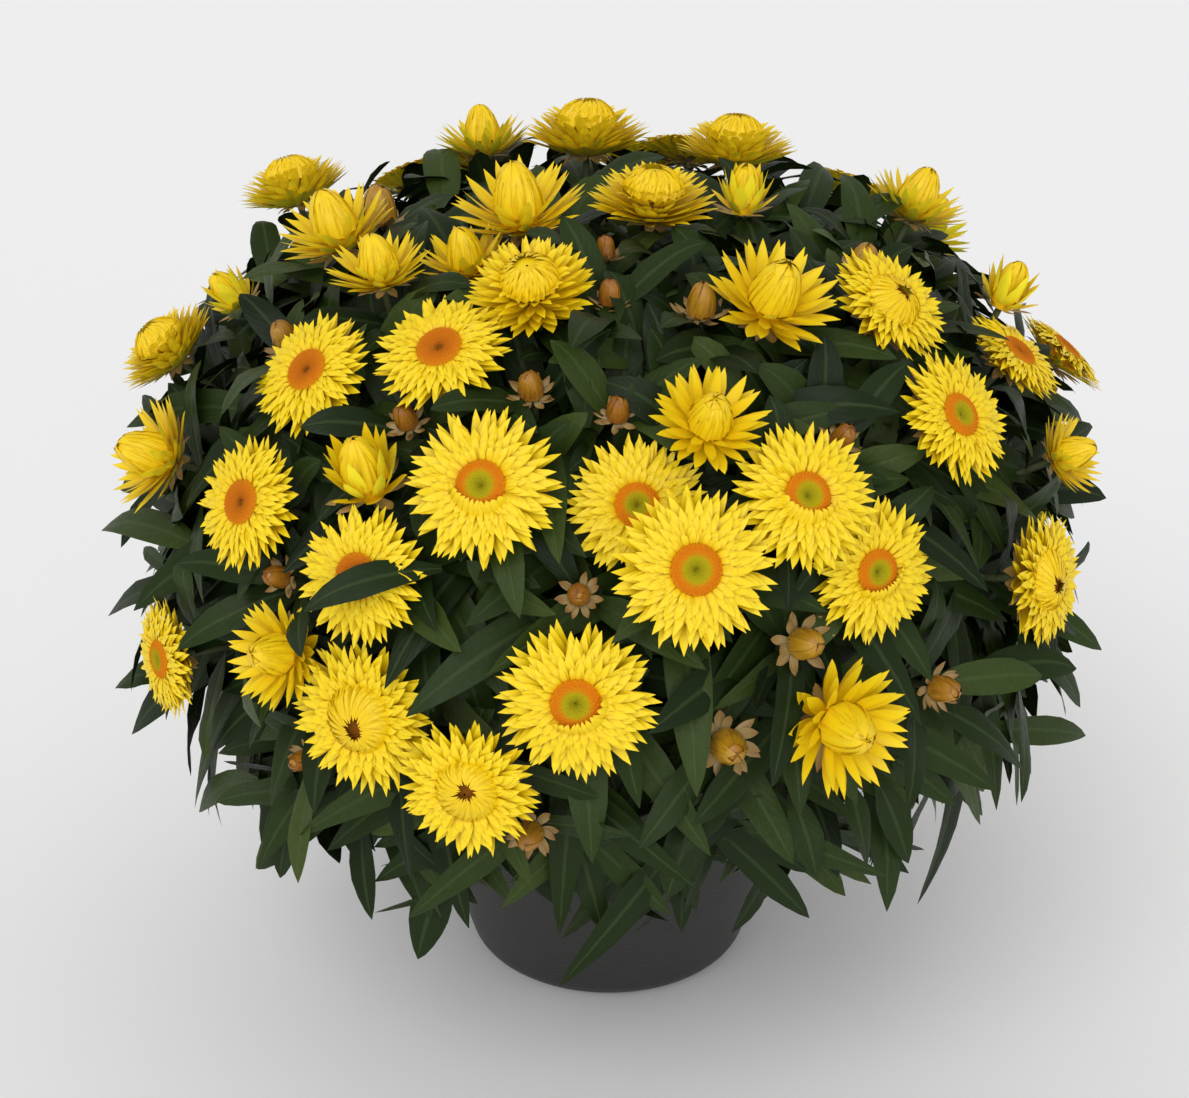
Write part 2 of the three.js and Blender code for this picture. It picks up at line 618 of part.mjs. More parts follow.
// Each leaf takes the first of its tries that has room.
function growLeaves(shoot, obstacles) {
  shoot.whorls.forEach((whorl, row) => {
    shoot.leaves[whorl] = Array.from({ length: shoot.whorlLeaves }, (_, side) => {
      const key = DRAWS.perShoot * shoot.index + SHOOT.sides * row + side;
      const foot = leafFoot(shoot, whorl, side);
      for (const [skew, scale] of LEAF.tries) {
        const leaf = leafOn(shoot, whorl, side, skew, scale * shoot.scale, key);
        const blade = leafRings(leaf, LEAF.clearance);
        const whole = obstacle(loft([foot, ...blade]), shoot.node, shoot);
        const free = obstacle(loft([[leafFrame(leaf, LEAF.free).centre], ...blade]), shoot.node);
        const tip = leafFrame(leaf, 1).centre;
        const inside = tip.z > LEAF.lowest && headShare(tip) < LEAF.reach;
        if (inside && hasRoom(whole, free, shoot, obstacles)) {
          obstacles.push({ ...whole, free });
          return leaf;
        }
      }
      return null;
    });
  });
}

// Assembly

const blooms = BLOOMS.map((row, k) => {
  const frame = bloomFrame(row, k);
  return { node: row[0], frame, solid: makeBloom(frame) };
});
const branches = listBranches();
const pot = makePot();
const wholeSoil = makeSoil();

const bodies = branches.flatMap(({ node, turn, ...wedge }, k) => [
  { node, solid: tube(stemCurve(turn), STEM) },
  { node, solid: makeCore({ turn, ...wedge }, k) },
]);
const obstacles = [obstacle(pot, 'pot'), obstacle(wholeSoil, 'soil')];
for (const { node, solid } of blooms) obstacles.push(obstacle(solid, node));
for (const { node, solid } of bodies) obstacles.push({ ...obstacle(solid, node), carrier: node });
const shoots = listShoots().map((shoot, k) => placeShoot(shoot, k, obstacles));
for (const shoot of shoots) growLeaves(shoot, obstacles);
bodies.push(...blooms, ...shoots.map((shoot) => ({ node: shoot.node, solid: makeShoot(shoot) })));

// Each main stem stands in a plain hole in the soil.
let soil = wholeSoil;
for (const { turn } of branches) soil = soil.subtract(tube(stemCurve(turn, GAP), STEM, 2 * GAP));

const materials = {
  pot: new THREE.MeshStandardMaterial({ color: 0x2b2a29, roughness: 0.6, metalness: 0 }),
  soil: new THREE.MeshStandardMaterial({ color: 0x2e2118, roughness: 1, metalness: 0 }),
  leaf: new THREE.MeshStandardMaterial({ color: 0x24401c, roughness: 0.6, metalness: 0 }),
  bloom: new THREE.MeshStandardMaterial({ color: 0xf6cf12, roughness: 0.45, metalness: 0 }),
};

function meshOf(name, solid, material) {
  const { numProp, vertProperties, triVerts } = solid.getMesh();
  const buffer = new THREE.InterleavedBuffer(vertProperties, numProp);
  const geometry = new THREE.BufferGeometry();
  geometry.setAttribute('position', new THREE.InterleavedBufferAttribute(buffer, 3, 0));
  geometry.setIndex(new THREE.BufferAttribute(triVerts, 1));
  const mesh = new THREE.Mesh(geometry, material);
  mesh.name = name;
  return mesh;
}

// All the bodies of one node, fused.
function fusedNode(node) {
  const solids = bodies.filter((body) => body.node === node).map((body) => body.solid);
  return solids.reduce((sum, solid) => sum.add(solid));
}

const plant = new THREE.Group();
plant.add(meshOf('pot', pot, materials.pot), meshOf('soil', soil, materials.soil));
for (const { node } of branches) plant.add(meshOf(node, fusedNode(node), materials.leaf));
for (const node of new Set(blooms.map((bloom) => bloom.node))) {
  plant.add(meshOf(node, fusedNode(node), materials.bloom));
}

export default plant;
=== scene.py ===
"""Looks of the potted strawflower: fine leaves, stems, bracts, florets, pot and soil around its solids.

Metres, +Z up, and -Y is the front. A turn is the angle in degrees round from the front, positive to the
right, and a rise is the angle up the plant's rounded head. Tables are in millimetres where they say so.
"""

import math

import bpy
import numpy as np
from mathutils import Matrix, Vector, kdtree


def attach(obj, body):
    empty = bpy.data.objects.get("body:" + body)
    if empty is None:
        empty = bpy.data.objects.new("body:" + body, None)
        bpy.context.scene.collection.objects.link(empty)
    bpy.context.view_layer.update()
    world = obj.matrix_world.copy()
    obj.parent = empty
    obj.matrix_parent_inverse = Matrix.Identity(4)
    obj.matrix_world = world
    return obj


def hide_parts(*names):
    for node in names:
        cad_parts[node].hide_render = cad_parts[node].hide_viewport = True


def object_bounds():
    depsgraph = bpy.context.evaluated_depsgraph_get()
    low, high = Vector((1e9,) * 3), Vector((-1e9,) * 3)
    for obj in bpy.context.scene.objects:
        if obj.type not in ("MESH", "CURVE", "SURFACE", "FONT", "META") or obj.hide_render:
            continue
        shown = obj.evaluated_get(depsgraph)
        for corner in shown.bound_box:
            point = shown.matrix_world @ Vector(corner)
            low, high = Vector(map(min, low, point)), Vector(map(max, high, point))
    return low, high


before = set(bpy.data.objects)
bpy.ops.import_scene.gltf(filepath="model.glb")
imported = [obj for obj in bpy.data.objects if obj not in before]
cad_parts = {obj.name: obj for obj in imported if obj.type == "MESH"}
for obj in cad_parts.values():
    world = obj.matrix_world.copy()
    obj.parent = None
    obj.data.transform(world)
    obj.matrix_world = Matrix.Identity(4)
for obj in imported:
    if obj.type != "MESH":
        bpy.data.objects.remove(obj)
cad_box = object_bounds()

MM = 0.001
UP = Vector((0, 0, 1))
DOWN = Vector((0, 0, -1))
SIDEWAYS = Vector((1, 0, 0))
GOLDEN = math.radians(137.508)

# The solids' own values, in millimetres.
POT = {
    "height": 144, "foot_radius": 62, "corner_radius": 20, "lean": 0.31, "wall": 3, "floor": 4,
    "lip_width": 4, "lip_height": 9, "drain_holes": 5, "drain_radius": 5, "drain_circle": 42,
}
SOIL = {"level": 126, "crown": 6}
GAP = 0.35
HEAD = {"centre": 248, "radius": 268, "height": 218, "squareness": 2.4}
STEM = {"radius": 4.6, "tip_radius": 4, "foot": (33, 102), "top": (44, 195)}
SHOOT = {"radius": 2.3, "tip_radius": 1.8, "sides": 3, "start": 0.5}
COURSES = (
    (0.3, 0), (0.1, 0), (0.5, 0), (0.3, 16), (0.3, -16), (0, 26), (0, -26), (0.6, 34), (0.6, -34), (1, 0),
)
LEAF = {
    "length": 90, "width": 20, "lean_spread": 22, "size_spread": 0.24, "width_spread": 0.16,
    "least_curl": 0.4, "curl_spread": 1.2, "bend": (0.55, 0.45),
}
LEAF_TRIES = (
    (0, 1), (22, 1), (-22, 1), (42, 1), (-42, 1), (0, 0.75), (30, 0.75), (-30, 0.75), (0, 0.55),
)
BLOOM_SEED, BUD_SEED, SOIL_SEED = 400, 900, 61
BLOOM_DEPTH = {"open": 0.42, "closed": 0.42, "half": 0.45, "cup": 0.62}
BUD = {"nod": 12, "reach": 0.96, "depth": 0.8}
BRANCH_TURNS = (-14, 16, 46, 84, 130, 180, -130, -84, -44)

# Every bloom, by the side that it stands on: its number, turn, rise, width across in millimetres, kind, how
# far its face nods up in degrees, and how far it stands out of the head in millimetres.
BLOOM_ROWS = {
    "top": (
        (1, -136, 72, 52, "half", 4, 4), (2, -168, 80, 68, "closed", 6, 4),
        (3, 113, 78, 62, "closed", 6, 4), (4, 43, 73, 34, "cup", 6, 0), (5, 88, 58, 54, "half", 4, 4),
        (6, -101, 55, 60, "closed", 12, 12), (7, -59, 59, 58, "half", 0, 4),
        (8, -39, 55, 48, "half", 14, 4), (9, -23, 70, 62, "half", -2, 4), (10, 14, 75, 60, "closed", 0, 0),
        (11, -30, 63, 46, "half", 4, -10), (12, -12, 55, 57, "closed", -4, 4),
    ),
    "left": (
        (1, -22, 45, 61, "open", 0, 0), (2, -39, 39, 60, "open", -4, 0), (3, -77, 32, 57, "closed", 14, 0),
        (4, -75, 44, 32, "cup", 0, -8), (5, -61, 21, 56, "half", 6, 0), (6, -41, 21, 60, "open", 2, 0),
        (7, -54, 0, 57, "open", 4, 0), (8, -35, 5, 50, "half", 14, -4), (9, -27, 28, 44, "cup", 34, -4),
        (10, -25, 16, 60, "open", 4, 0), (11, -25, 1, 69, "closed", 6, -6),
    ),
    "front": (
        (1, -13, -2, 62, "closed", 2, 6), (2, -3, 5, 68, "open", 4, 0), (3, 8, 19, 68, "open", -2, 8),
        (4, 3, 27, 60, "open", 0, -14), (5, -13, 28, 67, "open", -2, 2), (6, 11, 36, 50, "half", 8, 4),
        (7, 20, 26, 64, "open", 2, 4),
    ),
    "right": (
        (1, 28, 16, 62, "open", -4, -8), (2, 23, 1, 60, "half", 8, 0), (3, 25, 53, 60, "half", -4, 0),
        (4, 44, 49, 60, "closed", -10, 0), (5, 70, 43, 34, "cup", 20, 6), (6, 64, 36, 54, "open", 12, -4),
        (7, 84, 29, 54, "open", 18, 0), (8, 43, 32, 62, "open", -2, 0), (9, 62, 21, 42, "half", 8, 0),
        (10, 51, 9, 62, "closed", 4, 0),
    ),
    "back": (
        (1, 160, 64, 60, "open", 0, 0), (1, 174, 56, 58, "closed", 0, 0), (2, -150, 61, 62, "closed", 0, 0),
        (2, -138, 54, 58, "open", 0, 0), (3, 128, 51, 60, "open", 0, 0), (3, 119, 43, 58, "half", 0, 0),
        (4, -172, 38, 64, "open", 0, 0), (4, 178, 29, 60, "closed", 0, 0), (4, -162, 32, 58, "half", 0, 0),
        (5, 146, 31, 62, "open", 0, 0), (5, 138, 22, 60, "closed", 0, 0), (6, -128, 31, 60, "open", 0, 0),
        (6, -120, 23, 58, "half", 0, 0), (6, -132, 19, 60, "closed", 0, 0), (7, 108, 13, 62, "open", 0, 0),
        (7, 117, 8, 62, "half", 0, 0), (7, 109, 2, 62, "closed", 0, 0), (8, 167, 8, 64, "open", 0, 0),
        (8, 175, 3, 62, "closed", 0, 0), (9, -171, 11, 62, "half", 0, 0),
    ),
}


def list_blooms():
    """The rows with the name of each one's node, where more than one head of a node make it blooms."""
    named = []
    for side, rows in BLOOM_ROWS.items():
        numbers = [row[0] for row in rows]
        for number, *place in rows:
            word = "blooms" if numbers.count(number) > 1 else "bloom"
            named.append((f"{word}_{side}_{number}", *place))
    return named


BLOOMS = list_blooms()

# The brown buds: turn, rise and width across in millimetres.
BUDS = (
    (-75, 66, 32), (0, 57, 20), (-1, 66, 18), (15, 55, 26), (52, 57, 28), (28, 33, 20), (1, 39, 20),
    (-3, 16, 20), (20, 9, 28), (37, 1, 24), (12, 0, 30), (-8, -9, 24), (-37, 13, 20), (-25, 36, 20),
    (-10, 42, 22), (-51, 43, 24), (-34, -5, 18), (154, 46, 26), (-103, 10, 26),
)

# Shoots that bear leaves alone: turn and rise of each, and the rings of them under the head, by count, rise
# and share of the head's size.
FILLERS = (
    (-4, 47), (9, 54), (31, 43), (-12, 17), (-31, 50), (64, 55), (-54, 33), (-70, 10), (36, 24), (66, -2),
    (-40, 82), (-94, 45), (-88, 18), (145, 8), (-152, 10),
)
SKIRT = ((8, -14, 0.86), (8, -35, 0.76))
FILLER_REACH = 0.84
FOLIAGE = {
    "bloom": {"whorls": (0.66,), "leaves": 3, "lean": 55, "scale": 1, "droop": 0.1, "curl": 0.7},
    "bud": {"whorls": (0.62,), "leaves": 2, "lean": 55, "scale": 0.9, "droop": 0.2, "curl": 0.7},
    "filler": {"whorls": (0.5, 0.92), "leaves": 3, "lean": 42, "scale": 1, "droop": 0.1, "curl": 0.7},
    "skirt": {"whorls": (0.45, 0.92), "leaves": 3, "lean": 57, "scale": 0.86, "droop": 0.15, "curl": 0.6},
}

# Thinner shoots that fill the head out, seen only here.
TWIGS = {
    "count": 230, "lowest": -0.36, "span": 1.34, "reach": 0.7, "reach_spread": 0.2, "radius": 1.8,
    "tip_radius": 1.2,
}

# Leaves past the solid ones: where they stand on a shoot, how far out their tips may come, how low they may
# hang in metres, and the start of their counters.
EXTRA = {
    "shares": np.linspace(0.3, 0.97, 10), "twig_shares": np.linspace(0.2, 0.99, 9), "bloom_reach": 1.02,
    "reach": 1.08, "lowest_tip": 0.132, "key": 3000, "twig_index": 200, "single_key": 9000,
}

# Leaves that lie over a bloom or stand out of the head: the turn, rise and share of the head's size of the
# root and of the tip, and the width in millimetres.
SINGLE_LEAVES = (
    ((-17, 18, 0.97), (-27, 13, 1.1), 15), ((-54, 11, 0.92), (-72, 8, 1.04), 19),
    ((-52, 7, 0.92), (-69, 0, 1.04), 17), ((43, 0, 0.92), (55, 0, 1.04), 19),
    ((38, -1, 0.92), (47, -8, 1.03), 18), ((92, 68, 0.86), (117, 65, 1.02), 19),
    ((-95, 72, 0.86), (-126, 69, 1.04), 20), ((63, 64, 0.88), (88, 60, 1.04), 17),
    ((-3, 38, 0.9), (-4, 49, 1.0), 17), ((5, 50, 0.9), (0, 61, 1.0), 17),
    ((-86, 45, 0.88), (-99, 50, 1.04), 17), ((22, 51, 0.9), (14, 60, 1.0), 17),
    ((-21, -24, 0.86), (-26, -39, 1.0), 20), ((-38, -12, 0.92), (-42, -26, 1.0), 17),
    ((31, -8, 0.92), (34, -18, 1.0), 16), ((20, -7, 0.92), (22, -16, 1.0), 16),
    ((10, -7, 0.92), (6, -16, 1.0), 20), ((27, -7, 0.92), (28, -16, 1.0), 14),
    ((-64, -6, 0.92), (-72, -9, 1.04), 15), ((-46, -14, 0.92), (-62, -25, 1.0), 15),
)

# Older heads whose discs are orange all over, and heads with inner bracts folded over a side of the disc.
RIPE = {"bloom_left_1", "bloom_left_2", "bloom_left_10", "bloom_left_6", "bloom_right_6", "bloom_right_7"}
FOLDED = {"bloom_front_5", "bloom_front_7", "bloom_right_1", "bloom_front_2", "blooms_back_4"}

# Closed heads that are seen from the side, and stand up as a cushion.
CUSHIONS = {"bloom_top_2", "bloom_top_3", "bloom_top_6", "bloom_top_10", "bloom_top_12", "bloom_left_3"}

# Layers of a bloom's bracts, as shares of its radius: count, foot radius and height, tip radius and height,
# width, arch, and material.
PAPERY = (
    (9, 0.12, -0.36, 0.5, -0.4, 0.17, 0.04, "papery"),
    (9, 0.16, -0.33, 0.74, -0.24, 0.16, 0.03, "papery"),
)
RAYS = {
    "open": (
        *PAPERY,
        (19, 0.16, -0.3, 1.1, -0.03, 0.165, 0.0, "bract"),
        (19, 0.18, -0.25, 1.08, 0.0, 0.16, 0.02, "bract"),
        (28, 0.22, -0.12, 1.0, 0.02, 0.15, 0.05, "bract"),
        (30, 0.25, -0.05, 0.91, 0.045, 0.14, 0.06, "bract"),
        (30, 0.27, 0.0, 0.81, 0.065, 0.13, 0.06, "bract"),
        (30, 0.29, 0.02, 0.71, 0.085, 0.12, 0.055, "bract"),
        (28, 0.3, 0.04, 0.61, 0.1, 0.105, 0.05, "bract"),
        (26, 0.31, 0.06, 0.51, 0.115, 0.09, 0.035, "bract"),
    ),
    "closed": (
        *PAPERY,
        (19, 0.16, -0.3, 1.1, 0.03, 0.165, -0.02, "bract"),
        (19, 0.18, -0.25, 1.07, 0.06, 0.16, 0.0, "bract"),
        (28, 0.24, -0.12, 1.0, 0.085, 0.15, 0.04, "bract"),
        (30, 0.28, -0.05, 0.91, 0.105, 0.145, 0.05, "bract"),
        (28, 0.32, -0.01, 0.81, 0.12, 0.135, 0.05, "bract"),
        (26, 0.36, 0.02, 0.7, 0.13, 0.12, 0.045, "bract"),
        (24, 0.38, 0.05, 0.6, 0.14, 0.11, 0.03, "bract"),
    ),
    "cushion": (
        (8, 0.12, -0.38, 0.46, -0.44, 0.17, 0.04, "papery"),
        (7, 0.14, -0.36, 0.64, -0.26, 0.17, 0.02, "papery"),
        (20, 0.12, -0.38, 1.08, -0.04, 0.22, -0.03, "bract"),
        (20, 0.14, -0.34, 1.05, 0.05, 0.22, -0.03, "bract"),
        (20, 0.18, -0.28, 1.0, 0.15, 0.18, -0.03, "bract"),
        (20, 0.22, -0.2, 0.92, 0.22, 0.17, -0.01, "bract"),
        (20, 0.26, -0.08, 0.81, 0.3, 0.15, 0.02, "bract"),
        (20, 0.29, 0.02, 0.68, 0.35, 0.14, 0.04, "bract"),
    ),
    "half": (
        (7, 0.12, -0.38, 0.56, -0.42, 0.18, 0.04, "papery"),
        (6, 0.14, -0.36, 0.82, -0.14, 0.18, -0.02, "papery"),
        (10, 0.13, -0.36, 1.08, 0.06, 0.23, -0.05, "bract"),
        (11, 0.15, -0.31, 1.08, 0.2, 0.22, -0.06, "bract"),
        (11, 0.17, -0.25, 0.98, 0.34, 0.21, -0.07, "bract"),
        (9, 0.2, -0.17, 0.84, 0.46, 0.2, -0.07, "bract"),
    ),
    "cup": (
        (7, 0.2, -0.54, 0.98, -0.3, 0.27, 0.02, "papery"),
        (6, 0.24, -0.48, 1.02, 0.1, 0.34, -0.06, "bract"),
        (7, 0.28, -0.4, 0.84, 0.56, 0.34, -0.12, "bract"),
        (6, 0.31, -0.3, 0.64, 0.86, 0.34, -0.14, "bract"),
    ),
}

# Layers of bracts that close over a bloom's middle: count, rim radius and height, top height, width, and
# share of the way to the pinch.
CAPS = {
    "closed": (
        (20, 0.47, 0.03, 0.24, 0.2, 0.66),
        (20, 0.45, 0.05, 0.26, 0.2, 0.8),
        (22, 0.43, 0.06, 0.275, 0.19, 0.92),
    ),
    "cushion": (
        (20, 0.47, 0.12, 0.45, 0.17, 0.6),
        (20, 0.45, 0.14, 0.48, 0.16, 0.73),
        (20, 0.42, 0.16, 0.5, 0.15, 0.86),
    ),
    "half": (
        (9, 0.37, -0.04, 0.56, 0.32, 0.7),
        (9, 0.36, -0.02, 0.62, 0.32, 0.82),
        (9, 0.34, 0.0, 0.67, 0.3, 0.93),
        (7, 0.32, 0.02, 0.7, 0.28, 1.0),
    ),
    "cup": (
        (7, 0.42, -0.12, 0.84, 0.48, 0.8),
        (7, 0.41, -0.08, 0.91, 0.46, 1.0),
    ),
    "bud": (
        (8, 0.5, -0.3, 0.5, 0.46, 0.64),
        (8, 0.51, -0.16, 0.68, 0.46, 0.8),
        (7, 0.49, -0.04, 0.82, 0.46, 1.0),
    ),
}
# How far off its centre each kind's middle is drawn together, and how its closing bracts cup.
PINCH = {"open": 0.0, "closed": 0.13, "cushion": 0.05, "half": 0.05, "cup": 0.03}
CAP_CUP = {"closed": 0.2, "cushion": 0.3, "half": 0.0, "cup": 0.0, "bud": -0.1}

# What lies under the closing bracts: its material, how deep it lies, and its tint.
# Closed heads' heart takes the floret ramp's dark brown, so the gaps between their closing bracts show dark
# as painted shade.
HEARTS = {
    "closed": ("floret", 0.09, 1.1), "cushion": ("bract", 0.06, 0.3), "half": ("bract", 0.04, 0.3),
    "cup": ("bract", 0.06, 0.3), "bud": ("scale", 0.04, 0.3),
}
BUD_STAR = (
    (7, 0.22, -0.52, 1.14, -0.2, 0.34, -0.02, "papery"),
    (6, 0.24, -0.46, 1.0, 0.02, 0.34, -0.04, "papery"),
)


# Directions and places on the head


def chance(a, b):
    """A repeatable number from 0 to 1 for a pair of counters."""
    wave = math.sin(a * 12.9898 + b * 78.233) * 43758.5453
    return wave - math.floor(wave)


def outward(turn):
    return Vector((math.sin(math.radians(turn)), -math.cos(math.radians(turn)), 0))


def head_profile(rise):
    power = 2 / HEAD["squareness"]
    cos, sin = math.cos(math.radians(rise)), math.sin(math.radians(rise))
    return HEAD["radius"] * MM * cos**power, math.copysign(HEAD["height"] * MM * abs(sin) ** power, sin)


def head_point(turn, rise, reach=1.0):
    radius, height = head_profile(rise)
    point = outward(turn) * radius * reach
    point.z = HEAD["centre"] * MM + height * reach
    return point


def head_normal(turn, rise, nod=0.0):
    radius, height = head_profile(rise)
    power = HEAD["squareness"] - 1
    full_radius, full_height = HEAD["radius"] * MM, HEAD["height"] * MM
    across = (radius / full_radius) ** power / full_radius
    up = math.copysign((abs(height) / full_height) ** power / full_height, height)
    slope = min(math.atan2(up, across) + math.radians(nod), math.pi / 2)
    normal = outward(turn) * math.cos(slope)
    normal.z = math.sin(slope)
    return normal


def head_share(point):
    """How far out a point lies: 1 on the head's surface."""
    radius = math.hypot(point.x, point.y) / (HEAD["radius"] * MM)
    height = abs(point.z - HEAD["centre"] * MM) / (HEAD["height"] * MM)
    return (radius ** HEAD["squareness"] + height ** HEAD["squareness"]) ** (1 / HEAD["squareness"])


def side_axes(axis, reference=None):
    reference = reference or (UP if abs(axis.z) < 0.9 else SIDEWAYS)
    first = reference.cross(axis).normalized()
    return first, axis.cross(first)


def turns_between(start, end):
    return (end - start + 720) % 360


# Meshes from many sheets


def grid_faces(sheets, rows, columns):
    """The faces of grids of points that follow one another."""
    corner = (
        np.arange(sheets)[:, None, None] * rows * columns
        + np.arange(rows - 1)[None, :, None] * columns
        + np.arange(columns - 1)[None, None, :]
    ).reshape(-1)
    return np.stack([corner, corner + columns, corner + columns + 1, corner + 1], -1)


class Growth:
    """Collects sheets, tubes and loose faces, and makes them one mesh."""

    def __init__(self, name, materials):
        self.name, self.materials = name, materials
        self.points, self.faces, self.uvs, self.tints, self.slots = [], [], [], [], []
        self.count = 0

    def add(self, points, faces, uv, tint, material):
        points = np.asarray(points, float).reshape(-1, 3)
        faces = np.asarray(faces, int)
        self.points.append(points)
        self.faces.append(faces + self.count)
        self.uvs.append(np.broadcast_to(uv, (len(points), 2)))
        self.tints.append(np.broadcast_to(tint, (len(points),)))
        self.slots.append(np.full(len(faces), self.materials.index(material)))
        self.count += len(points)

    def add_sheets(self, points, tint, material, tip_first=False):
        """Sheets of one size: points are sheets by rows by columns, and tint is one number a sheet."""
        sheets, rows, columns = points.shape[:3]
        across, along = np.meshgrid(np.linspace(0, 1, columns), np.linspace(0, 1, rows))
        along = 1 - along if tip_first else along
        uv = np.broadcast_to(np.stack([across, along], -1), (sheets, rows, columns, 2)).reshape(-1, 2)
        self.add(points, grid_faces(sheets, rows, columns), uv, np.repeat(tint, rows * columns), material)

    def add_tube(self, centres, radii, material, sides=8, tint=0.5):
        """A round tube through centres, with a radius at each."""
        rows = len(centres)
        chord = (centres[-1] - centres[0]).normalized()
        reference = UP if abs(chord.z) < 0.9 else SIDEWAYS
        points = []
        for k in range(rows):
            tangent = (centres[min(k + 1, rows - 1)] - centres[max(k - 1, 0)]).normalized()
            first, second = side_axes(tangent, reference)
            for side in range(sides):
                angle = 2 * math.pi * side / sides
                points.append(centres[k] + (first * math.cos(angle) + second * math.sin(angle)) * radii[k])
        corner = (np.arange(rows - 1)[:, None] * sides + np.arange(sides)[None, :]).reshape(-1)
        ahead = (np.arange(rows - 1)[:, None] * sides + (np.arange(sides)[None, :] + 1) % sides).reshape(-1)
        faces = np.stack([corner, ahead, ahead + sides, corner + sides], -1)
        around, along = np.meshgrid(np.linspace(0, 1, sides), np.linspace(0, 1, rows))
        uv = np.stack([around, along], -1).reshape(-1, 2)
        self.add([tuple(p) for p in points], faces, uv, tint, material)

    def build(self):
        mesh = bpy.data.meshes.new(self.name)
        points = np.concatenate(self.points)
        faces = np.concatenate(self.faces)
        mesh.vertices.add(len(points))
        mesh.vertices.foreach_set("co", points.astype(np.float32).ravel())
        mesh.loops.add(faces.size)
        mesh.loops.foreach_set("vertex_index", faces.astype(np.int32).ravel())
        mesh.polygons.add(len(faces))
        mesh.polygons.foreach_set("loop_start", np.arange(0, faces.size, 4, dtype=np.int32))
        mesh.polygons.foreach_set("loop_total", np.full(len(faces), 4, dtype=np.int32))
        mesh.polygons.foreach_set("material_index", np.concatenate(self.slots).astype(np.int32))
        uv = np.concatenate(self.uvs)[faces.ravel()]
        mesh.uv_layers.new(name="UVMap").data.foreach_set("uv", uv.astype(np.float32).ravel())
        tint = mesh.attributes.new("tint", "FLOAT", "POINT")
        tint.data.foreach_set("value", np.concatenate(self.tints).astype(np.float32))
        for material in self.materials:
            mesh.materials.append(MATERIALS[material])
        mesh.update(calc_edges=True)
        mesh.shade_smooth()
        obj = bpy.data.objects.new(self.name, mesh)
        bpy.context.scene.collection.objects.link(obj)
        return obj


def unit(vectors):
    return vectors / np.linalg.norm(vectors, axis=-1, keepdims=True)


def placed(obj, slot, *nodes):
    """The piece stands for solids and rides on the plant's one body; slot is not used."""
    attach(obj, "root")
    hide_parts(*nodes)


# Materials


def nodes_of(name):
    material = bpy.data.materials.new(name)
    material.use_nodes = True
    tree = material.node_tree
    return material, tree, tree.nodes["Principled BSDF"]


def node(tree, kind, inputs=None, **settings):
    made = tree.nodes.new(kind)
    for key, value in settings.items():
        setattr(made, key, value)
    for key, value in (inputs or {}).items():
        if isinstance(value, bpy.types.NodeSocket):
            tree.links.new(value, made.inputs[key])
        else:
            made.inputs[key].default_value = value
    return made


def ramp(tree, factor, stops):
    made = node(tree, "ShaderNodeValToRGB", {"Fac": factor})
    elements = made.color_ramp.elements
    while len(elements) < len(stops):
        elements.new(0.5)
    for element, (place, colour) in zip(elements, stops):
        element.position = place
        element.color = (*colour, 1)
    return made.outputs["Color"]


def mixed(tree, factor, first, second):
    made = tree.nodes.new("ShaderNodeMix")
    made.data_type = "RGBA"
    for socket, value in ((made.inputs[0], factor), (made.inputs[6], first), (made.inputs[7], second)):
        if isinstance(value, bpy.types.NodeSocket):
            tree.links.new(value, socket)
        else:
            socket.default_value = value if isinstance(value, float) else (*value, 1)
    return made.outputs[2]


def maths(tree, operation, *values):
    made = tree.nodes.new("ShaderNodeMath")
    made.operation = operation
    for socket, value in zip(made.inputs, values):
        if isinstance(value, bpy.types.NodeSocket):
            tree.links.new(value, socket)
        else:
            socket.default_value = value
    return made.outputs[0]


def uv_parts(tree):
    split = node(tree, "ShaderNodeSeparateXYZ", {"Vector": node(tree, "ShaderNodeTexCoord").outputs["UV"]})
    return split.outputs["X"], split.outputs["Y"]


def tint_of(tree):
    return node(tree, "ShaderNodeAttribute", attribute_name="tint").outputs["Fac"]


def streaks(tree, scale, along):
    """Noise drawn out along a sheet, different on each sheet."""
    across, length = uv_parts(tree)
    place = node(tree, "ShaderNodeCombineXYZ", {
        "X": maths(tree, "MULTIPLY", across, scale), "Y": maths(tree, "MULTIPLY", length, along),
        "Z": maths(tree, "MULTIPLY", tint_of(tree), 97.0),
    })
    return noise(tree, 1.0, 3.0, place.outputs["Vector"])


def noise(tree, scale, detail, place=None):
    inputs = {"Scale": scale, "Detail": detail}
    if place:
        inputs["Vector"] = place
    return node(tree, "ShaderNodeTexNoise", inputs).outputs["Fac"]


def share_of(tree, value, share):
    return maths(tree, "MULTIPLY", value, share)


def from_middle(tree, across):
    return maths(tree, "ABSOLUTE", maths(tree, "SUBTRACT", across, 0.5))


def finished(material, tree, shader, colour, relief, rough, specular=None):
    """Relief is a height with its strength and depth, and rough is one number or a value with its range."""
    tree.links.new(colour, shader.inputs["Base Color"])
    if relief:
        inputs = dict(zip(("Height", "Strength", "Distance"), relief))
        tree.links.new(node(tree, "ShaderNodeBump", inputs).outputs["Normal"], shader.inputs["Normal"])
    if isinstance(rough, tuple):
        spread = node(tree, "ShaderNodeMapRange", dict(zip(("Value", "To Min", "To Max"), rough)))
        tree.links.new(spread.outputs["Result"], shader.inputs["Roughness"])
    else:
        shader.inputs["Roughness"].default_value = rough
    if specular is not None:
        shader.inputs["Specular IOR Level"].default_value = specular
    return material


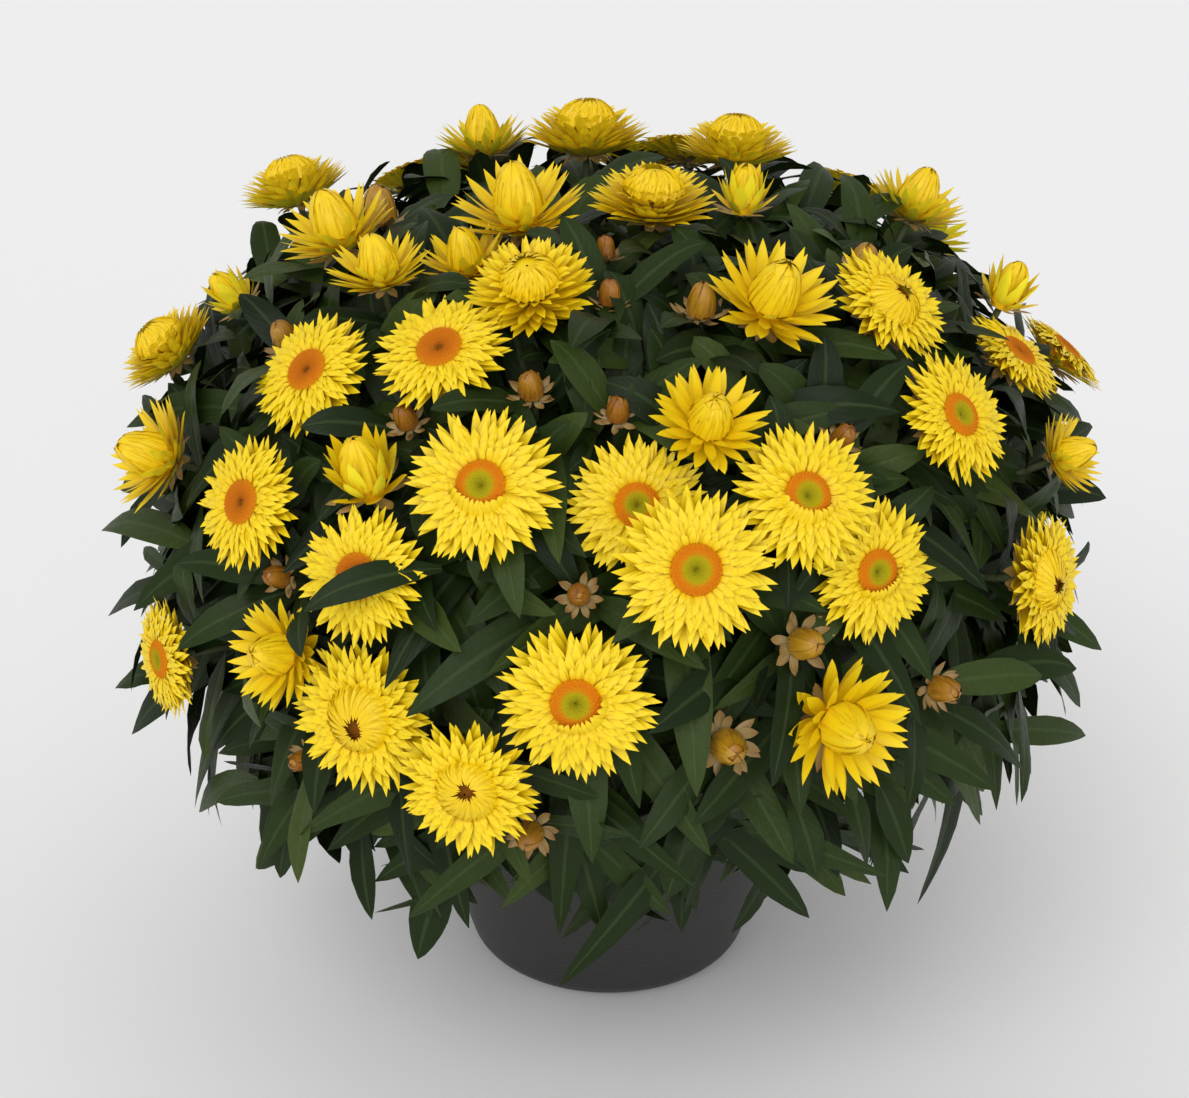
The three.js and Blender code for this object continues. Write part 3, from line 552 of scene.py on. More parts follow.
def leaf_material():
    material, tree, shader = nodes_of("leaf")
    across, along = uv_parts(tree)
    off_middle = from_middle(tree, across)
    blade = ramp(tree, tint_of(tree), (
        (0.0, (0.006, 0.013, 0.002)), (0.35, (0.012, 0.024, 0.003)), (0.7, (0.024, 0.043, 0.006)),
        (1.0, (0.056, 0.084, 0.015)),
    ))
    mottle = noise(tree, 120.0, 4.0)
    blade = mixed(tree, share_of(tree, mottle, 0.5), blade, (0.006, 0.014, 0.004))
    under = node(tree, "ShaderNodeNewGeometry").outputs["Backfacing"]
    blade = mixed(tree, share_of(tree, under, 0.4), blade, (0.032, 0.046, 0.018))
    rib = ramp(tree, off_middle, ((0.0, (1, 1, 1)), (0.035, (0.75, 0.75, 0.75)), (0.075, (0, 0, 0))))
    colour = mixed(tree, share_of(tree, rib, 0.28), blade, (0.070, 0.105, 0.034))
    way = maths(tree, "ADD", along, share_of(tree, off_middle, -0.5))
    vein = node(tree, "ShaderNodeTexWave", {
        "Vector": node(tree, "ShaderNodeCombineXYZ", {"X": way}).outputs["Vector"],
        "Scale": 3.6, "Distortion": 0.8, "Detail": 1.0,
    }).outputs["Fac"]
    height = maths(tree, "ADD", share_of(tree, rib, -0.5), share_of(tree, vein, 0.1))
    height = maths(tree, "ADD", height, share_of(tree, mottle, 0.25))
    return finished(material, tree, shader, colour, (height, 0.55, 0.0008), (mottle, 0.34, 0.56), 0.14)


def bract_material():
    """Yellow, with darker edges on the upper side, partly orange and partly painted shade, and painted light
    underneath.
    """
    material, tree, shader = nodes_of("bract")
    across, along = uv_parts(tree)
    body = ramp(tree, along, (
        (0.0, (0.80, 0.47, 0.002)), (0.22, (0.83, 0.57, 0.003)), (0.6, (0.85, 0.63, 0.005)),
        (0.92, (0.87, 0.68, 0.012)), (1.0, (0.85, 0.58, 0.010)),
    ))
    streak = streaks(tree, 9.0, 1.6)
    body = mixed(tree, share_of(tree, streak, 0.4), body, (0.80, 0.50, 0.003))
    body = mixed(tree, share_of(tree, tint_of(tree), 0.2), body, (0.88, 0.70, 0.020))
    off_middle = from_middle(tree, across)
    # Darker orange-brown towards each bract's edges: partly the bracts' own orange rims, partly painted
    # shade between overlapping bracts.
    rim_tone_and_painted_shade = ramp(tree, off_middle, ((0.36, (0, 0, 0)), (0.5, (1, 1, 1))))
    body = mixed(tree, share_of(tree, rim_tone_and_painted_shade, 0.5), body, (0.70, 0.38, 0.002))
    # Painted light: the underside is mixed most of the way to bright lemon, standing in for light shining
    # through the thin bracts.
    under = node(tree, "ShaderNodeNewGeometry").outputs["Backfacing"]
    body = mixed(tree, share_of(tree, under, 0.9), body, (1.0, 0.88, 0.03))
    height = maths(tree, "SUBTRACT", streak, share_of(tree, off_middle, 0.6))
    return finished(material, tree, shader, body, (height, 0.35, 0.0004), 0.42, 0.3)


def dry_material(name, stops, streak_size, light, dark, relief, rough):
    """Dry scales: stops along them, a light colour by tint, and dark streaks, each colour with its share."""
    material, tree, shader = nodes_of(name)
    body = ramp(tree, uv_parts(tree)[1], stops)
    streak = streaks(tree, *streak_size)
    body = mixed(tree, share_of(tree, tint_of(tree), light[1]), body, light[0])
    body = mixed(tree, share_of(tree, streak, dark[1]), body, dark[0])
    return finished(material, tree, shader, body, (streak, *relief), rough)


def papery_material():
    return dry_material(
        "papery", (
            (0.0, (0.66, 0.60, 0.36)), (0.4, (0.46, 0.35, 0.15)), (0.7, (0.32, 0.18, 0.045)),
            (1.0, (0.18, 0.07, 0.015)),
        ), (12.0, 2.2), ((0.50, 0.38, 0.16), 0.4), ((0.26, 0.13, 0.03), 0.6), (0.7, 0.0004), 0.42,
    )


def scale_material():
    return dry_material(
        "bud_scale", (
            (0.0, (0.14, 0.035, 0.005)), (0.3, (0.26, 0.08, 0.006)), (0.7, (0.40, 0.17, 0.008)),
            (1.0, (0.24, 0.08, 0.008)),
        ), (10.0, 2.0), ((0.66, 0.42, 0.015), 0.75), ((0.26, 0.075, 0.008), 0.7), (0.6, 0.0005), 0.36,
    )


def floret_material():
    """A disc's florets: the tint is the share of the way out, and past 1 the head is ripe."""
    material, tree, shader = nodes_of("floret")
    colour = ramp(tree, maths(tree, "DIVIDE", tint_of(tree), 2.0), (
        (0.0, (0.20, 0.18, 0.004)), (0.07, (0.34, 0.34, 0.006)), (0.23, (0.50, 0.43, 0.005)),
        (0.28, (0.72, 0.28, 0.004)), (0.36, (0.78, 0.21, 0.003)), (0.5, (0.84, 0.32, 0.004)),
        (0.54, (0.16, 0.05, 0.006)), (0.62, (0.52, 0.13, 0.004)), (0.85, (0.70, 0.19, 0.005)),
        (1.0, (0.80, 0.36, 0.006)),
    ))
    grain = noise(tree, 900.0, 3.0)
    colour = mixed(tree, share_of(tree, grain, 0.35), colour, (0.40, 0.16, 0.003))
    return finished(material, tree, shader, colour, (grain, 0.5, 0.0004), 0.7, 0.12)


def stem_material():
    material, tree, shader = nodes_of("stem")
    grain = noise(tree, 260.0, 4.0)
    colour = ramp(tree, uv_parts(tree)[1], (
        (0.0, (0.060, 0.050, 0.022)), (0.4, (0.042, 0.062, 0.020)), (1.0, (0.085, 0.105, 0.035)),
    ))
    colour = mixed(tree, share_of(tree, grain, 0.5), colour, (0.030, 0.024, 0.012))
    return finished(material, tree, shader, colour, (grain, 0.6, 0.0005), 0.6)


def pot_material():
    """Black plastic with fine turned rings, 3 mm apart."""
    material, tree, shader = nodes_of("pot_plastic")
    place = node(tree, "ShaderNodeTexCoord").outputs["Object"]
    height = node(tree, "ShaderNodeSeparateXYZ", {"Vector": place}).outputs["Z"]
    rings = maths(tree, "SINE", share_of(tree, height, 2 * math.pi / (3.0 * MM)))
    grain = noise(tree, 1400.0, 3.0, place)
    cloud = noise(tree, 22.0, 4.0, place)
    colour = mixed(tree, cloud, (0.014, 0.0135, 0.013), (0.026, 0.025, 0.024))
    relief = maths(tree, "ADD", share_of(tree, rings, 0.6), share_of(tree, grain, 0.5))
    return finished(material, tree, shader, colour, (relief, 0.5, 0.0004), (cloud, 0.42, 0.6))


def soil_material():
    material, tree, shader = nodes_of("soil_peat")
    place = node(tree, "ShaderNodeTexCoord").outputs["Object"]
    lumps = node(tree, "ShaderNodeTexVoronoi", {"Vector": place, "Scale": 420.0}).outputs["Distance"]
    grain = noise(tree, 700.0, 6.0, place)
    colour = ramp(tree, grain, (
        (0.3, (0.012, 0.007, 0.004)), (0.6, (0.035, 0.020, 0.011)), (0.8, (0.080, 0.050, 0.028)),
    ))
    return finished(material, tree, shader, colour, (maths(tree, "ADD", lumps, grain), 1.0, 0.002), 0.95)


def floor_material():
    material, tree, shader = nodes_of("pale_floor")
    colour = mixed(tree, noise(tree, 3.0, 3.0), (0.93, 0.93, 0.93), (0.95, 0.95, 0.945))
    return finished(material, tree, shader, colour, None, 0.85)


MATERIALS = {
    "leaf": leaf_material(), "stem": stem_material(), "bract": bract_material(), "papery": papery_material(),
    "scale": scale_material(), "floret": floret_material(), "pot": pot_material(), "soil": soil_material(),
    "floor": floor_material(),
}


# Leaves

LEAF_ROWS = np.array([0.0, 0.07, 0.18, 0.32, 0.46, 0.6, 0.73, 0.85, 0.94, 1.0])
LEAF_FULLNESS = np.array([0.22, 0.34, 0.62, 0.88, 1.0, 1.0, 0.9, 0.66, 0.36, 0.02])
LEAF_COLUMNS = np.array([-1, -0.55, 0, 0.55, 1])
LEAF_LOOKS = {"hook": 0.55, "hook_start": 0.68, "roll": 0.9, "fold": (0.42, -0.34), "wave": 1.5}


def leaf_points(leaf, share):
    """A leaf's centre line at shares of its length, and its way along there."""
    under, down = LEAF["bend"]
    bend = (leaf["normal"] * -under + DOWN * (down + leaf["droop"])).normalized()
    length, curl = leaf["length"], leaf["curl"]
    centre = leaf["root"] + leaf["direction"] * length * share + bend * (length * curl * share * share / 2)
    return centre, bend


def make_leaves(growth, leaves):
    """Fine blades: a sunk midrib, arched halves, waved edges and a hooked tip."""
    column = {key: np.array([tuple(leaf[key]) for leaf in leaves]) for key in ("root", "direction", "side")}
    bend = np.array([tuple(leaf_points(leaf, 0)[1]) for leaf in leaves])
    length, width, curl, tint, key = (
        np.array([leaf[name] for leaf in leaves]) for name in ("length", "width", "curl", "tint", "key")
    )
    s = LEAF_ROWS[None, :, None]
    size = length[:, None, None]
    hook = LEAF_LOOKS["hook"] * np.maximum(s - LEAF_LOOKS["hook_start"], 0) ** 2
    centre = (
        column["root"][:, None] + column["direction"][:, None] * size * s
        + bend[:, None] * size * (curl[:, None, None] * s * s / 2 + hook)
    )
    turned = curl[:, None, None] * s + 2 * np.sqrt(LEAF_LOOKS["hook"] * hook)
    tangent = unit(column["direction"][:, None] + bend[:, None] * turned)
    side = np.broadcast_to(column["side"][:, None], tangent.shape)
    up = unit(np.cross(tangent, side))
    roll = (np.modf(key * 0.7548)[0] - 0.5)[:, None, None] * LEAF_LOOKS["roll"] * s
    side, up = side * np.cos(roll) + up * np.sin(roll), up * np.cos(roll) - side * np.sin(roll)
    half = (width[:, None] / 2 * LEAF_FULLNESS[None])[..., None]
    u = LEAF_COLUMNS[None, None, :]
    phase = (key * 2.399)[:, None, None]
    waves = np.sin(phase + s * (9 + 4 * np.sin(phase)) + np.sign(u) * 1.1)
    lifted, dropped = LEAF_LOOKS["fold"]
    rise = half * (lifted * np.abs(u) + dropped * u * u)
    rise = rise + LEAF_LOOKS["wave"] * MM * waves * u * u * (half / (10 * MM))
    points = centre[:, :, None] + side[:, :, None] * (half * u)[..., None] + up[:, :, None] * rise[..., None]
    growth.add_sheets(points, tint, "leaf")


# Shoots


class Curve:
    """A curve with one bend, from start to end."""

    def __init__(self, start, middle, end):
        self.start, self.middle, self.end = start, middle, end

    def point(self, t):
        return self.start * (1 - t) ** 2 + self.middle * 2 * t * (1 - t) + self.end * t * t

    def tangent(self, t):
        return ((self.middle - self.start) * (1 - t) + (self.end - self.middle) * t).normalized()


def list_branches():
    rows = []
    for k, turn in enumerate(BRANCH_TURNS):
        before, after = BRANCH_TURNS[k - 1], BRANCH_TURNS[(k + 1) % len(BRANCH_TURNS)]
        left, right = turn - turns_between(before, turn) / 2, turn + turns_between(turn, after) / 2
        rows.append({"node": f"branch_{k + 1}", "turn": turn, "left": left, "right": right})
    return rows


BRANCHES = list_branches()


def branch_at(turn):
    return next(b for b in BRANCHES if turns_between(b["left"], turn) <= b["right"] - b["left"])


def shoot_curve(shoot, course):
    gather, sway = course
    branch = branch_at(shoot["turn"])
    inward = (branch["turn"] - shoot["turn"] + 540) % 360 - 180
    start = head_point(shoot["turn"] + gather * inward, shoot["rise"], SHOOT["start"])
    middle = shoot["end"] - shoot["axis"] * 0.5 * (start - shoot["end"]).length
    return Curve(start, middle + outward(shoot["turn"] + 90) * sway * MM, shoot["end"])


def head_frame(centre, axis, across, depth, kind, name=None):
    """A bloom's or bud's place and axes, and the base that its shoot carries."""
    first, second = side_axes(axis)
    radius = across * MM / 2
    return {
        "centre": centre, "axis": axis, "first": first, "second": second, "radius": radius,
        "base": centre - axis * radius * depth, "depth": depth, "kind": kind, "node": name,
    }


def bloom_frame(name, turn, rise, across, kind, nod, out):
    centre = head_point(turn, rise) + head_normal(turn, rise) * out * MM
    return head_frame(centre, head_normal(turn, rise, nod), across, BLOOM_DEPTH[kind], kind, name)


def bud_frame(turn, rise, across):
    centre = head_point(turn, rise, BUD["reach"])
    return head_frame(centre, head_normal(turn, rise, BUD["nod"]), across, BUD["depth"], "bud")


def bare_shoot(turn, rise, reach, kind):
    """A shoot that ends in leaves, inside the head."""
    end, axis = head_point(turn, rise, reach), head_normal(turn, rise)
    return {"turn": turn, "rise": rise, "end": end, "axis": axis, "kind": kind}


def list_shoots(blooms, buds):
    shoots = []
    for row, bloom in zip(BLOOMS, blooms):
        end = bloom["base"] - bloom["axis"] * GAP * MM
        shoots.append({"turn": row[1], "rise": row[2], "end": end, "axis": bloom["axis"], "kind": "bloom"})
    for (turn, rise, _), bud in zip(BUDS, buds):
        shoots.append({"turn": turn, "rise": rise, "end": bud["base"], "axis": bud["axis"], "kind": "bud"})
    shoots += [bare_shoot(turn, rise, FILLER_REACH, "filler") for turn, rise in FILLERS]
    for row, (count, rise, reach) in enumerate(SKIRT):
        for k in range(count):
            shoots.append(bare_shoot(360 * (k + 0.5 * row + 0.25) / count, rise, reach, "skirt"))
    for index, shoot in enumerate(shoots):
        shoot["index"] = index
        shoot["node"] = branch_at(shoot["turn"])["node"]
    return shoots


def leaf_on(curve, share, away, foliage, scale, key):
    """A leaf that leaves a shoot at a share of its length, on the side that away points to."""
    axis = curve.tangent(share)
    lean = math.radians(foliage["lean"] + LEAF["lean_spread"] * (chance(key, 1) - 0.5))
    size = scale * (1 + LEAF["size_spread"] * (chance(key, 2) - 0.5))
    return {
        "root": curve.point(share),
        "direction": axis * math.cos(lean) + away * math.sin(lean),
        "normal": axis * math.sin(lean) - away * math.cos(lean),
        "side": axis.cross(away).normalized(),
        "length": LEAF["length"] * MM * size,
        "width": LEAF["width"] * MM * math.sqrt(scale) * (1 + LEAF["width_spread"] * (chance(key, 3) - 0.5)),
        "curl": foliage["curl"] * (LEAF["least_curl"] + LEAF["curl_spread"] * chance(key, 4)),
        "droop": foliage["droop"],
        "key": key,
        "tint": chance(key, 31),
    }


def away_from(curve, share, angle):
    """The direction at an angle round a curve."""
    chord = (curve.point(1) - curve.point(0)).normalized()
    first, second = side_axes(curve.tangent(share), UP if abs(chord.z) < 0.9 else SIDEWAYS)
    return first * math.cos(angle) + second * math.sin(angle)


def solid_leaf_tries(shoot, curve):
    """Each place of a leaf on the solid shoot, with all the leaves that could stand there."""
    foliage = FOLIAGE[shoot["kind"]]
    sides = SHOOT["sides"]
    for row, share in enumerate(foliage["whorls"]):
        spin = 6 * chance(shoot["index"], 9) + math.pi / 3 * row
        for side in range(foliage["leaves"]):
            key = 10 * shoot["index"] + sides * row + side
            angle = spin + math.pi * (2 * side + 1) / sides
            yield [
                leaf_on(curve, share, away_from(curve, share, angle + math.radians(skew)), foliage,
                        scale * foliage["scale"], key)
                for skew, scale in LEAF_TRIES
            ]


def corners_of(node_name):
    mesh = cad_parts[node_name].data
    tree = kdtree.KDTree(len(mesh.vertices))
    for k, vertex in enumerate(mesh.vertices):
        tree.insert(vertex.co, k)
    tree.balance()
    return tree


def solid_leaves(shoot, corners):
    """The shoot's curve and leaves as its solid has them: those whose tips are corners of the solid."""
    best = (0, shoot_curve(shoot, COURSES[0]), [])
    for course in COURSES:
        curve = shoot_curve(shoot, course)
        found = []
        for tries in solid_leaf_tries(shoot, curve):
            for leaf in tries:
                if corners.find(leaf_points(leaf, 1)[0])[2] < 0.1 * MM:
                    found.append(leaf)
                    break
        if len(found) > best[0]:
            best = (len(found), curve, found)
    return best[1], best[2]


class Crowd:
    """The blooms and buds that leaves keep clear of."""

    def __init__(self, heads):
        self.centre = np.array([tuple(h["centre"]) for h in heads])
        self.axis = np.array([tuple(h["axis"]) for h in heads])
        self.radius = np.array([h["radius"] for h in heads])

    def blocks(self, leaf):
        points = np.array([tuple(leaf_points(leaf, share)[0]) for share in (0.3, 0.5, 0.7, 0.85, 1.0)])
        offset = points[:, None] - self.centre[None]
        height = np.einsum("ijk,jk->ij", offset, self.axis)
        reach = np.sqrt(np.maximum((offset**2).sum(-1) - height**2, 0))
        above = (height > -0.3 * self.radius) & (height < 1.0 * self.radius + 0.02)
        return bool(np.any(above & (reach < 0.95 * self.radius)))


def within(point):
    low, high = cad_box
    return all(low[k] < point[k] < high[k] for k in range(3))


def fits(leaf, crowd, reach):
    tip = leaf_points(leaf, 1)[0]
    middle = leaf_points(leaf, 0.6)[0]
    return (
        tip.z > EXTRA["lowest_tip"] and within(tip) and within(middle) and head_share(tip) < reach
        and not crowd.blocks(leaf)
    )


def extra_leaves(shoot, curve, crowd, shares, reach):
    """Leaves in a spiral up the shoot, each turned a little or made smaller until it fits."""
    up = max(math.sin(math.radians(shoot["rise"])), 0)
    foliage = {"lean": 57 - 17 * up, "curl": 0.6, "droop": 0.08 if shoot["rise"] < 0 else 0.0}
    leaves = []
    for k, share in enumerate(shares):
        key = EXTRA["key"] + 40 * shoot["index"] + k
        for skew, scale in LEAF_TRIES:
            scale = scale * (1.0 - 0.35 * max(share - 0.6, 0) / 0.4) * (0.8 + 0.3 * chance(key, 11))
            angle = GOLDEN * k + 6 * chance(shoot["index"], 12) + math.radians(skew)
            leaf = leaf_on(curve, share, away_from(curve, share, angle), foliage, scale, key)
            if fits(leaf, crowd, reach):
                leaves.append(leaf)
                break
    return leaves


def twigs():
    """More leafy shoots, spread evenly over the head."""
    count = TWIGS["count"]
    shoots = []
    for k in range(count):
        rise = math.degrees(math.asin(TWIGS["lowest"] + TWIGS["span"] * (k + 0.5) / count))
        turn = math.degrees(GOLDEN * k) % 360 - 180
        shoot = bare_shoot(turn, rise, TWIGS["reach"] + TWIGS["reach_spread"] * chance(k, 14), "filler")
        shoots.append({**shoot, "index": EXTRA["twig_index"] + k, "node": branch_at(turn)["node"]})
    return shoots


def single_leaf(root, tip, width, key):
    """A leaf between two places, arched upwards."""
    start, end = head_point(*root), head_point(*tip)
    curl, chord = 0.5, (end - start).length
    course = end - start + UP * (0.5 * curl * chord)
    direction = course.normalized()
    face = head_normal(tip[0], tip[1]) + UP * 0.6
    normal = (face - direction * face.dot(direction)).normalized()
    return {
        "root": start, "direction": direction, "normal": normal, "side": normal.cross(direction),
        "length": course.length, "width": width * MM, "curl": curl, "droop": 3.0, "key": key,
        "tint": 0.3 + 0.6 * chance(key, 31),
    }


def make_stem(growth, curve, size, steps=9):
    """A stem along a curve, with the radii in millimetres that size gives its foot and its tip."""
    radius, tip_radius = size["radius"] * MM, size["tip_radius"] * MM
    shares = [k / steps for k in range(steps + 1)]
    radii = [radius + (tip_radius - radius) * t for t in shares]
    growth.add_tube([curve.point(t) for t in shares], radii, "stem", sides=7)


# Blooms and buds

BRACT_ROWS = np.array([0.0, 0.25, 0.5, 0.7, 0.87, 1.0])
BRACT_FULLNESS = np.array([0.5, 0.82, 1.0, 0.92, 0.52, 0.02])
BRACT_COLUMNS = np.array([-1, -0.5, 0, 0.5, 1])
CAP_FULLNESS = np.array([0.95, 1.0, 0.86, 0.62, 0.36, 0.04])


def axes_of(head):
    return np.array([tuple(head["first"]), tuple(head["second"]), tuple(head["axis"])])


def local_sheets(growth, head, path, side, half, cup, tint, material, tip_first=False):
    """Sheets in a head's own axes, as shares of its radius, cupped across."""
    tangent = unit(np.gradient(path, axis=1))
    up = unit(np.cross(tangent, side))
    side = unit(np.cross(up, tangent))
    u = BRACT_COLUMNS[None, None, :]
    lift = cup * half[..., None] * u * u
    out = (half[..., None] * u)[..., None]
    local = path[:, :, None] + side[:, :, None] * out + up[:, :, None] * lift[..., None]
    points = np.array(tuple(head["centre"])) + head["radius"] * local @ axes_of(head)
    growth.add_sheets(points, tint, material, tip_first)


def make_rays(growth, head, layer, rng, tints=(0, 1)):
    """A ring of bracts that spread out, each a little out of line."""
    count, foot, foot_height, tip, tip_height, width, arch, material = layer
    s = BRACT_ROWS[None]
    turn = 2 * math.pi * (np.arange(count) + rng.uniform(-0.3, 0.3, count) + rng.uniform()) / count
    tip = tip * (1 + rng.uniform(-0.06, 0.01, count))[:, None]
    height = (tip_height + rng.uniform(-0.02, 0.02, count))[:, None]
    radius = foot + (tip - foot) * s
    rise = foot_height + (height - foot_height) * s**1.15 + arch * 4 * s * (1 - s)
    rise = rise - 0.04 * s**5 * rng.uniform(-0.5, 2.0, count)[:, None]
    turn = turn[:, None] + rng.normal(0, 0.06, count)[:, None] * s * s
    path = np.stack([radius * np.cos(turn), radius * np.sin(turn), rise], -1)
    roll = rng.normal(0, 0.07, count)[:, None]
    side = np.stack([-np.sin(turn) * np.cos(roll), np.cos(turn) * np.cos(roll), np.sin(roll) + 0 * turn], -1)
    half = width / 2 * BRACT_FULLNESS[None] * rng.uniform(0.85, 1.12, count)[:, None]
    cup = -0.3 if material == "papery" else 0.22
    local_sheets(growth, head, path, side, half, cup, rng.uniform(*tints, count), material)


def make_cap(growth, head, layer, pinch, rng, material, cup, tints=(0, 1)):
    """Bracts that close over the head's middle towards a pinch off its centre."""
    count, rim, rim_height, top, width, way = layer
    s = BRACT_ROWS[None]
    turn = 2 * math.pi * (np.arange(count) + rng.uniform(-0.2, 0.2, count) + rng.uniform()) / count
    angle = s * math.pi / 2 * way * (1 + rng.uniform(-0.06, 0.02, count))[:, None]
    swirl = turn[:, None] + 0.25 * s
    radius = rim * np.cos(angle) ** 0.75
    rise = rim_height + (top - rim_height) * np.sin(angle)
    drift = 1 - radius / rim
    lift = 1 + 0.04 * s**4
    path = np.stack([
        radius * lift * np.cos(swirl) + pinch[0] * drift, radius * lift * np.sin(swirl) + pinch[1] * drift,
        rise * lift,
    ], -1)
    side = np.stack([-np.sin(swirl), np.cos(swirl), 0 * swirl], -1)
    half = width / 2 * CAP_FULLNESS[None] * rng.uniform(0.9, 1.15, count)[:, None]
    local_sheets(growth, head, path, -side, half, cup, rng.uniform(*tints, count), material, tip_first=True)


def make_heart(growth, head, kind):
    """The smooth body under the closing bracts."""
    material, inset, tint = HEARTS[kind]
    _, rim, rim_height, top, _, _ = CAPS[kind][-1]
    centres, radii = [], []
    for angle in np.linspace(-0.5, math.pi / 2, 9):
        height = rim_height + (top - inset - rim_height) * math.sin(angle)
        centres.append(head["centre"] + head["axis"] * head["radius"] * height)
        radii.append(head["radius"] * (rim - inset) * max(math.cos(angle), 0.02) ** 0.75)
    growth.add_tube(centres, radii, material, sides=20, tint=tint)


def disc_bed(share):
    """The height of a disc at a share of the way out: a low dome with a dimple in its middle."""
    dimple = 0.05 * np.exp(-((share / 0.14) ** 2))
    return 0.1 + 0.045 * np.cos((share - 0.62) * 3.2) - dimple - 0.12 * share**8


def make_disc(growth, head, ripe, rng):
    """A bed of pointed florets, in spirals."""
    count, around = 230, 33
    spread, age = (0.39, 1.0) if ripe else (0.36, 0.0)
    centre, axes = np.array(tuple(head["centre"])), axes_of(head)
    share = np.sqrt((np.arange(count) + 0.5) / count)
    turn = GOLDEN * np.arange(count)
    size = 0.034 * spread / 0.36 * (0.75 + 0.35 * share) * rng.uniform(0.85, 1.15, count)
    radius = spread * share
    tips = np.stack([radius * np.cos(turn), radius * np.sin(turn), disc_bed(share) + 0.03], -1)
    feet = []
    for k in range(4):
        angle = turn + k * math.pi / 2
        feet.append(tips + np.stack([size * np.cos(angle), size * np.sin(angle), -0.045 + 0 * size], -1))
    points = centre + head["radius"] * np.stack([*feet, tips], 1).reshape(-1, 3) @ axes
    side, start = np.arange(4)[:, None], 5 * np.arange(count)[None, :]
    tip = start + 4 + 0 * side
    faces = np.stack([start + side, start + (side + 1) % 4, tip, tip], -1).reshape(-1, 4)
    growth.add(points, faces, (0.5, 0.5), np.repeat(share + age, 5), "floret")
    rings = np.array([0.0, 0.12, 0.25, 0.4, 0.55, 0.7, 0.85, 1.0, 1.12])
    angle = np.linspace(0, 2 * math.pi, around)[None]
    radius = spread * rings[:, None]
    height = disc_bed(rings)[:, None] + 0 * angle
    local = np.stack([radius * np.cos(angle), radius * np.sin(angle), height], -1)
    points = centre + head["radius"] * local @ axes
    faces = grid_faces(1, len(rings), around)
    growth.add(points, faces, (0.5, 0.5), np.repeat(rings + age, around), "floret")


def make_foot(growth, head, material):
    """The cup that carries a head on its stem."""
    depth = head["depth"]
    profile = ((-depth, 0.07), (-0.8 * depth, 0.13), (-0.55 * depth, 0.2), (-0.3 * depth, 0.26), (0.0, 0.3))
    centres = [head["centre"] + head["axis"] * head["radius"] * height for height, _ in profile]
    growth.add_tube(centres, [head["radius"] * radius for _, radius in profile], material, sides=12)


def make_bloom(growth, bloom, index):
    rng = np.random.default_rng(BLOOM_SEED + index)
    kind = "cushion" if bloom["node"] in CUSHIONS else bloom["kind"]
    make_foot(growth, bloom, "papery")
    for layer in RAYS[kind]:
        make_rays(growth, bloom, layer, rng)
    angle = rng.uniform(0, 2 * math.pi)
    pinch = (PINCH[kind] * math.cos(angle), PINCH[kind] * math.sin(angle))
    if kind == "open":
        make_disc(growth, bloom, bloom["node"] in RIPE, rng)
    else:
        make_heart(growth, bloom, kind)
    for layer in CAPS.get(kind, ()):
        make_cap(growth, bloom, layer, pinch, rng, "bract", CAP_CUP[kind])
    if bloom["node"] in FOLDED:
        fold_over(growth, bloom, rng)


def fold_over(growth, bloom, rng):
    """Inner bracts that still lean in over the lower side of the disc."""
    count = 11
    s = BRACT_ROWS[None]
    down = np.array([bloom["first"].dot(DOWN), bloom["second"].dot(DOWN)])
    middle = math.atan2(down[1], down[0]) + rng.uniform(-0.5, 0.5)
    turn = (middle + np.linspace(-1.25, 1.25, count) + rng.uniform(-0.05, 0.05, count))[:, None] + 0 * s
    reach = (0.62 - 0.32 * (np.linspace(-1, 1, count) ** 2))[:, None]
    radius = 0.43 - 0.36 * reach * s
    rise = 0.05 + 0.17 * np.sin(s * 2.0) + 0 * turn
    path = np.stack([radius * np.cos(turn), radius * np.sin(turn), rise], -1)
    side = np.stack([-np.sin(turn), np.cos(turn), 0 * turn], -1)
    half = 0.065 * CAP_FULLNESS[None] * rng.uniform(0.9, 1.2, count)[:, None]
    local_sheets(growth, bloom, path, -side, half, 0.2, rng.uniform(0, 1, count), "bract", tip_first=True)


def make_bud(growth, bud, index):
    """A brown bud: the smallest are darkest, and those over about 26 mm across are golden."""
    rng = np.random.default_rng(BUD_SEED + index)
    make_foot(growth, bud, "stem")
    gold = min(max((bud["radius"] - 0.010) / 0.004, 0), 1)
    tints = (0.6 * gold, 0.25 + 0.75 * gold)
    for layer in BUD_STAR:
        make_rays(growth, bud, layer, rng, tints)
    make_heart(growth, bud, "bud")
    for layer in CAPS["bud"]:
        make_cap(growth, bud, layer, (0.0, 0.0), rng, "scale", CAP_CUP["bud"], tints)


# Pot and soil


def wall_radius(z):
    lean = math.atan(POT["lean"])
    bend_radius = POT["foot_radius"] + POT["corner_radius"] * math.cos(lean)
    bend_z = POT["corner_radius"] * (1 - math.sin(lean))
    return bend_radius + POT["lean"] * (z - bend_z)


def corner_points(inset, steps):
    end = math.pi / 2 - math.atan(POT["lean"])
    radius = POT["corner_radius"] - inset
    foot, height = POT["foot_radius"], POT["corner_radius"]
    angles = [end * k / steps for k in range(steps + 1)]
    return [(foot + radius * math.sin(angle), height - radius * math.cos(angle)) for angle in angles]


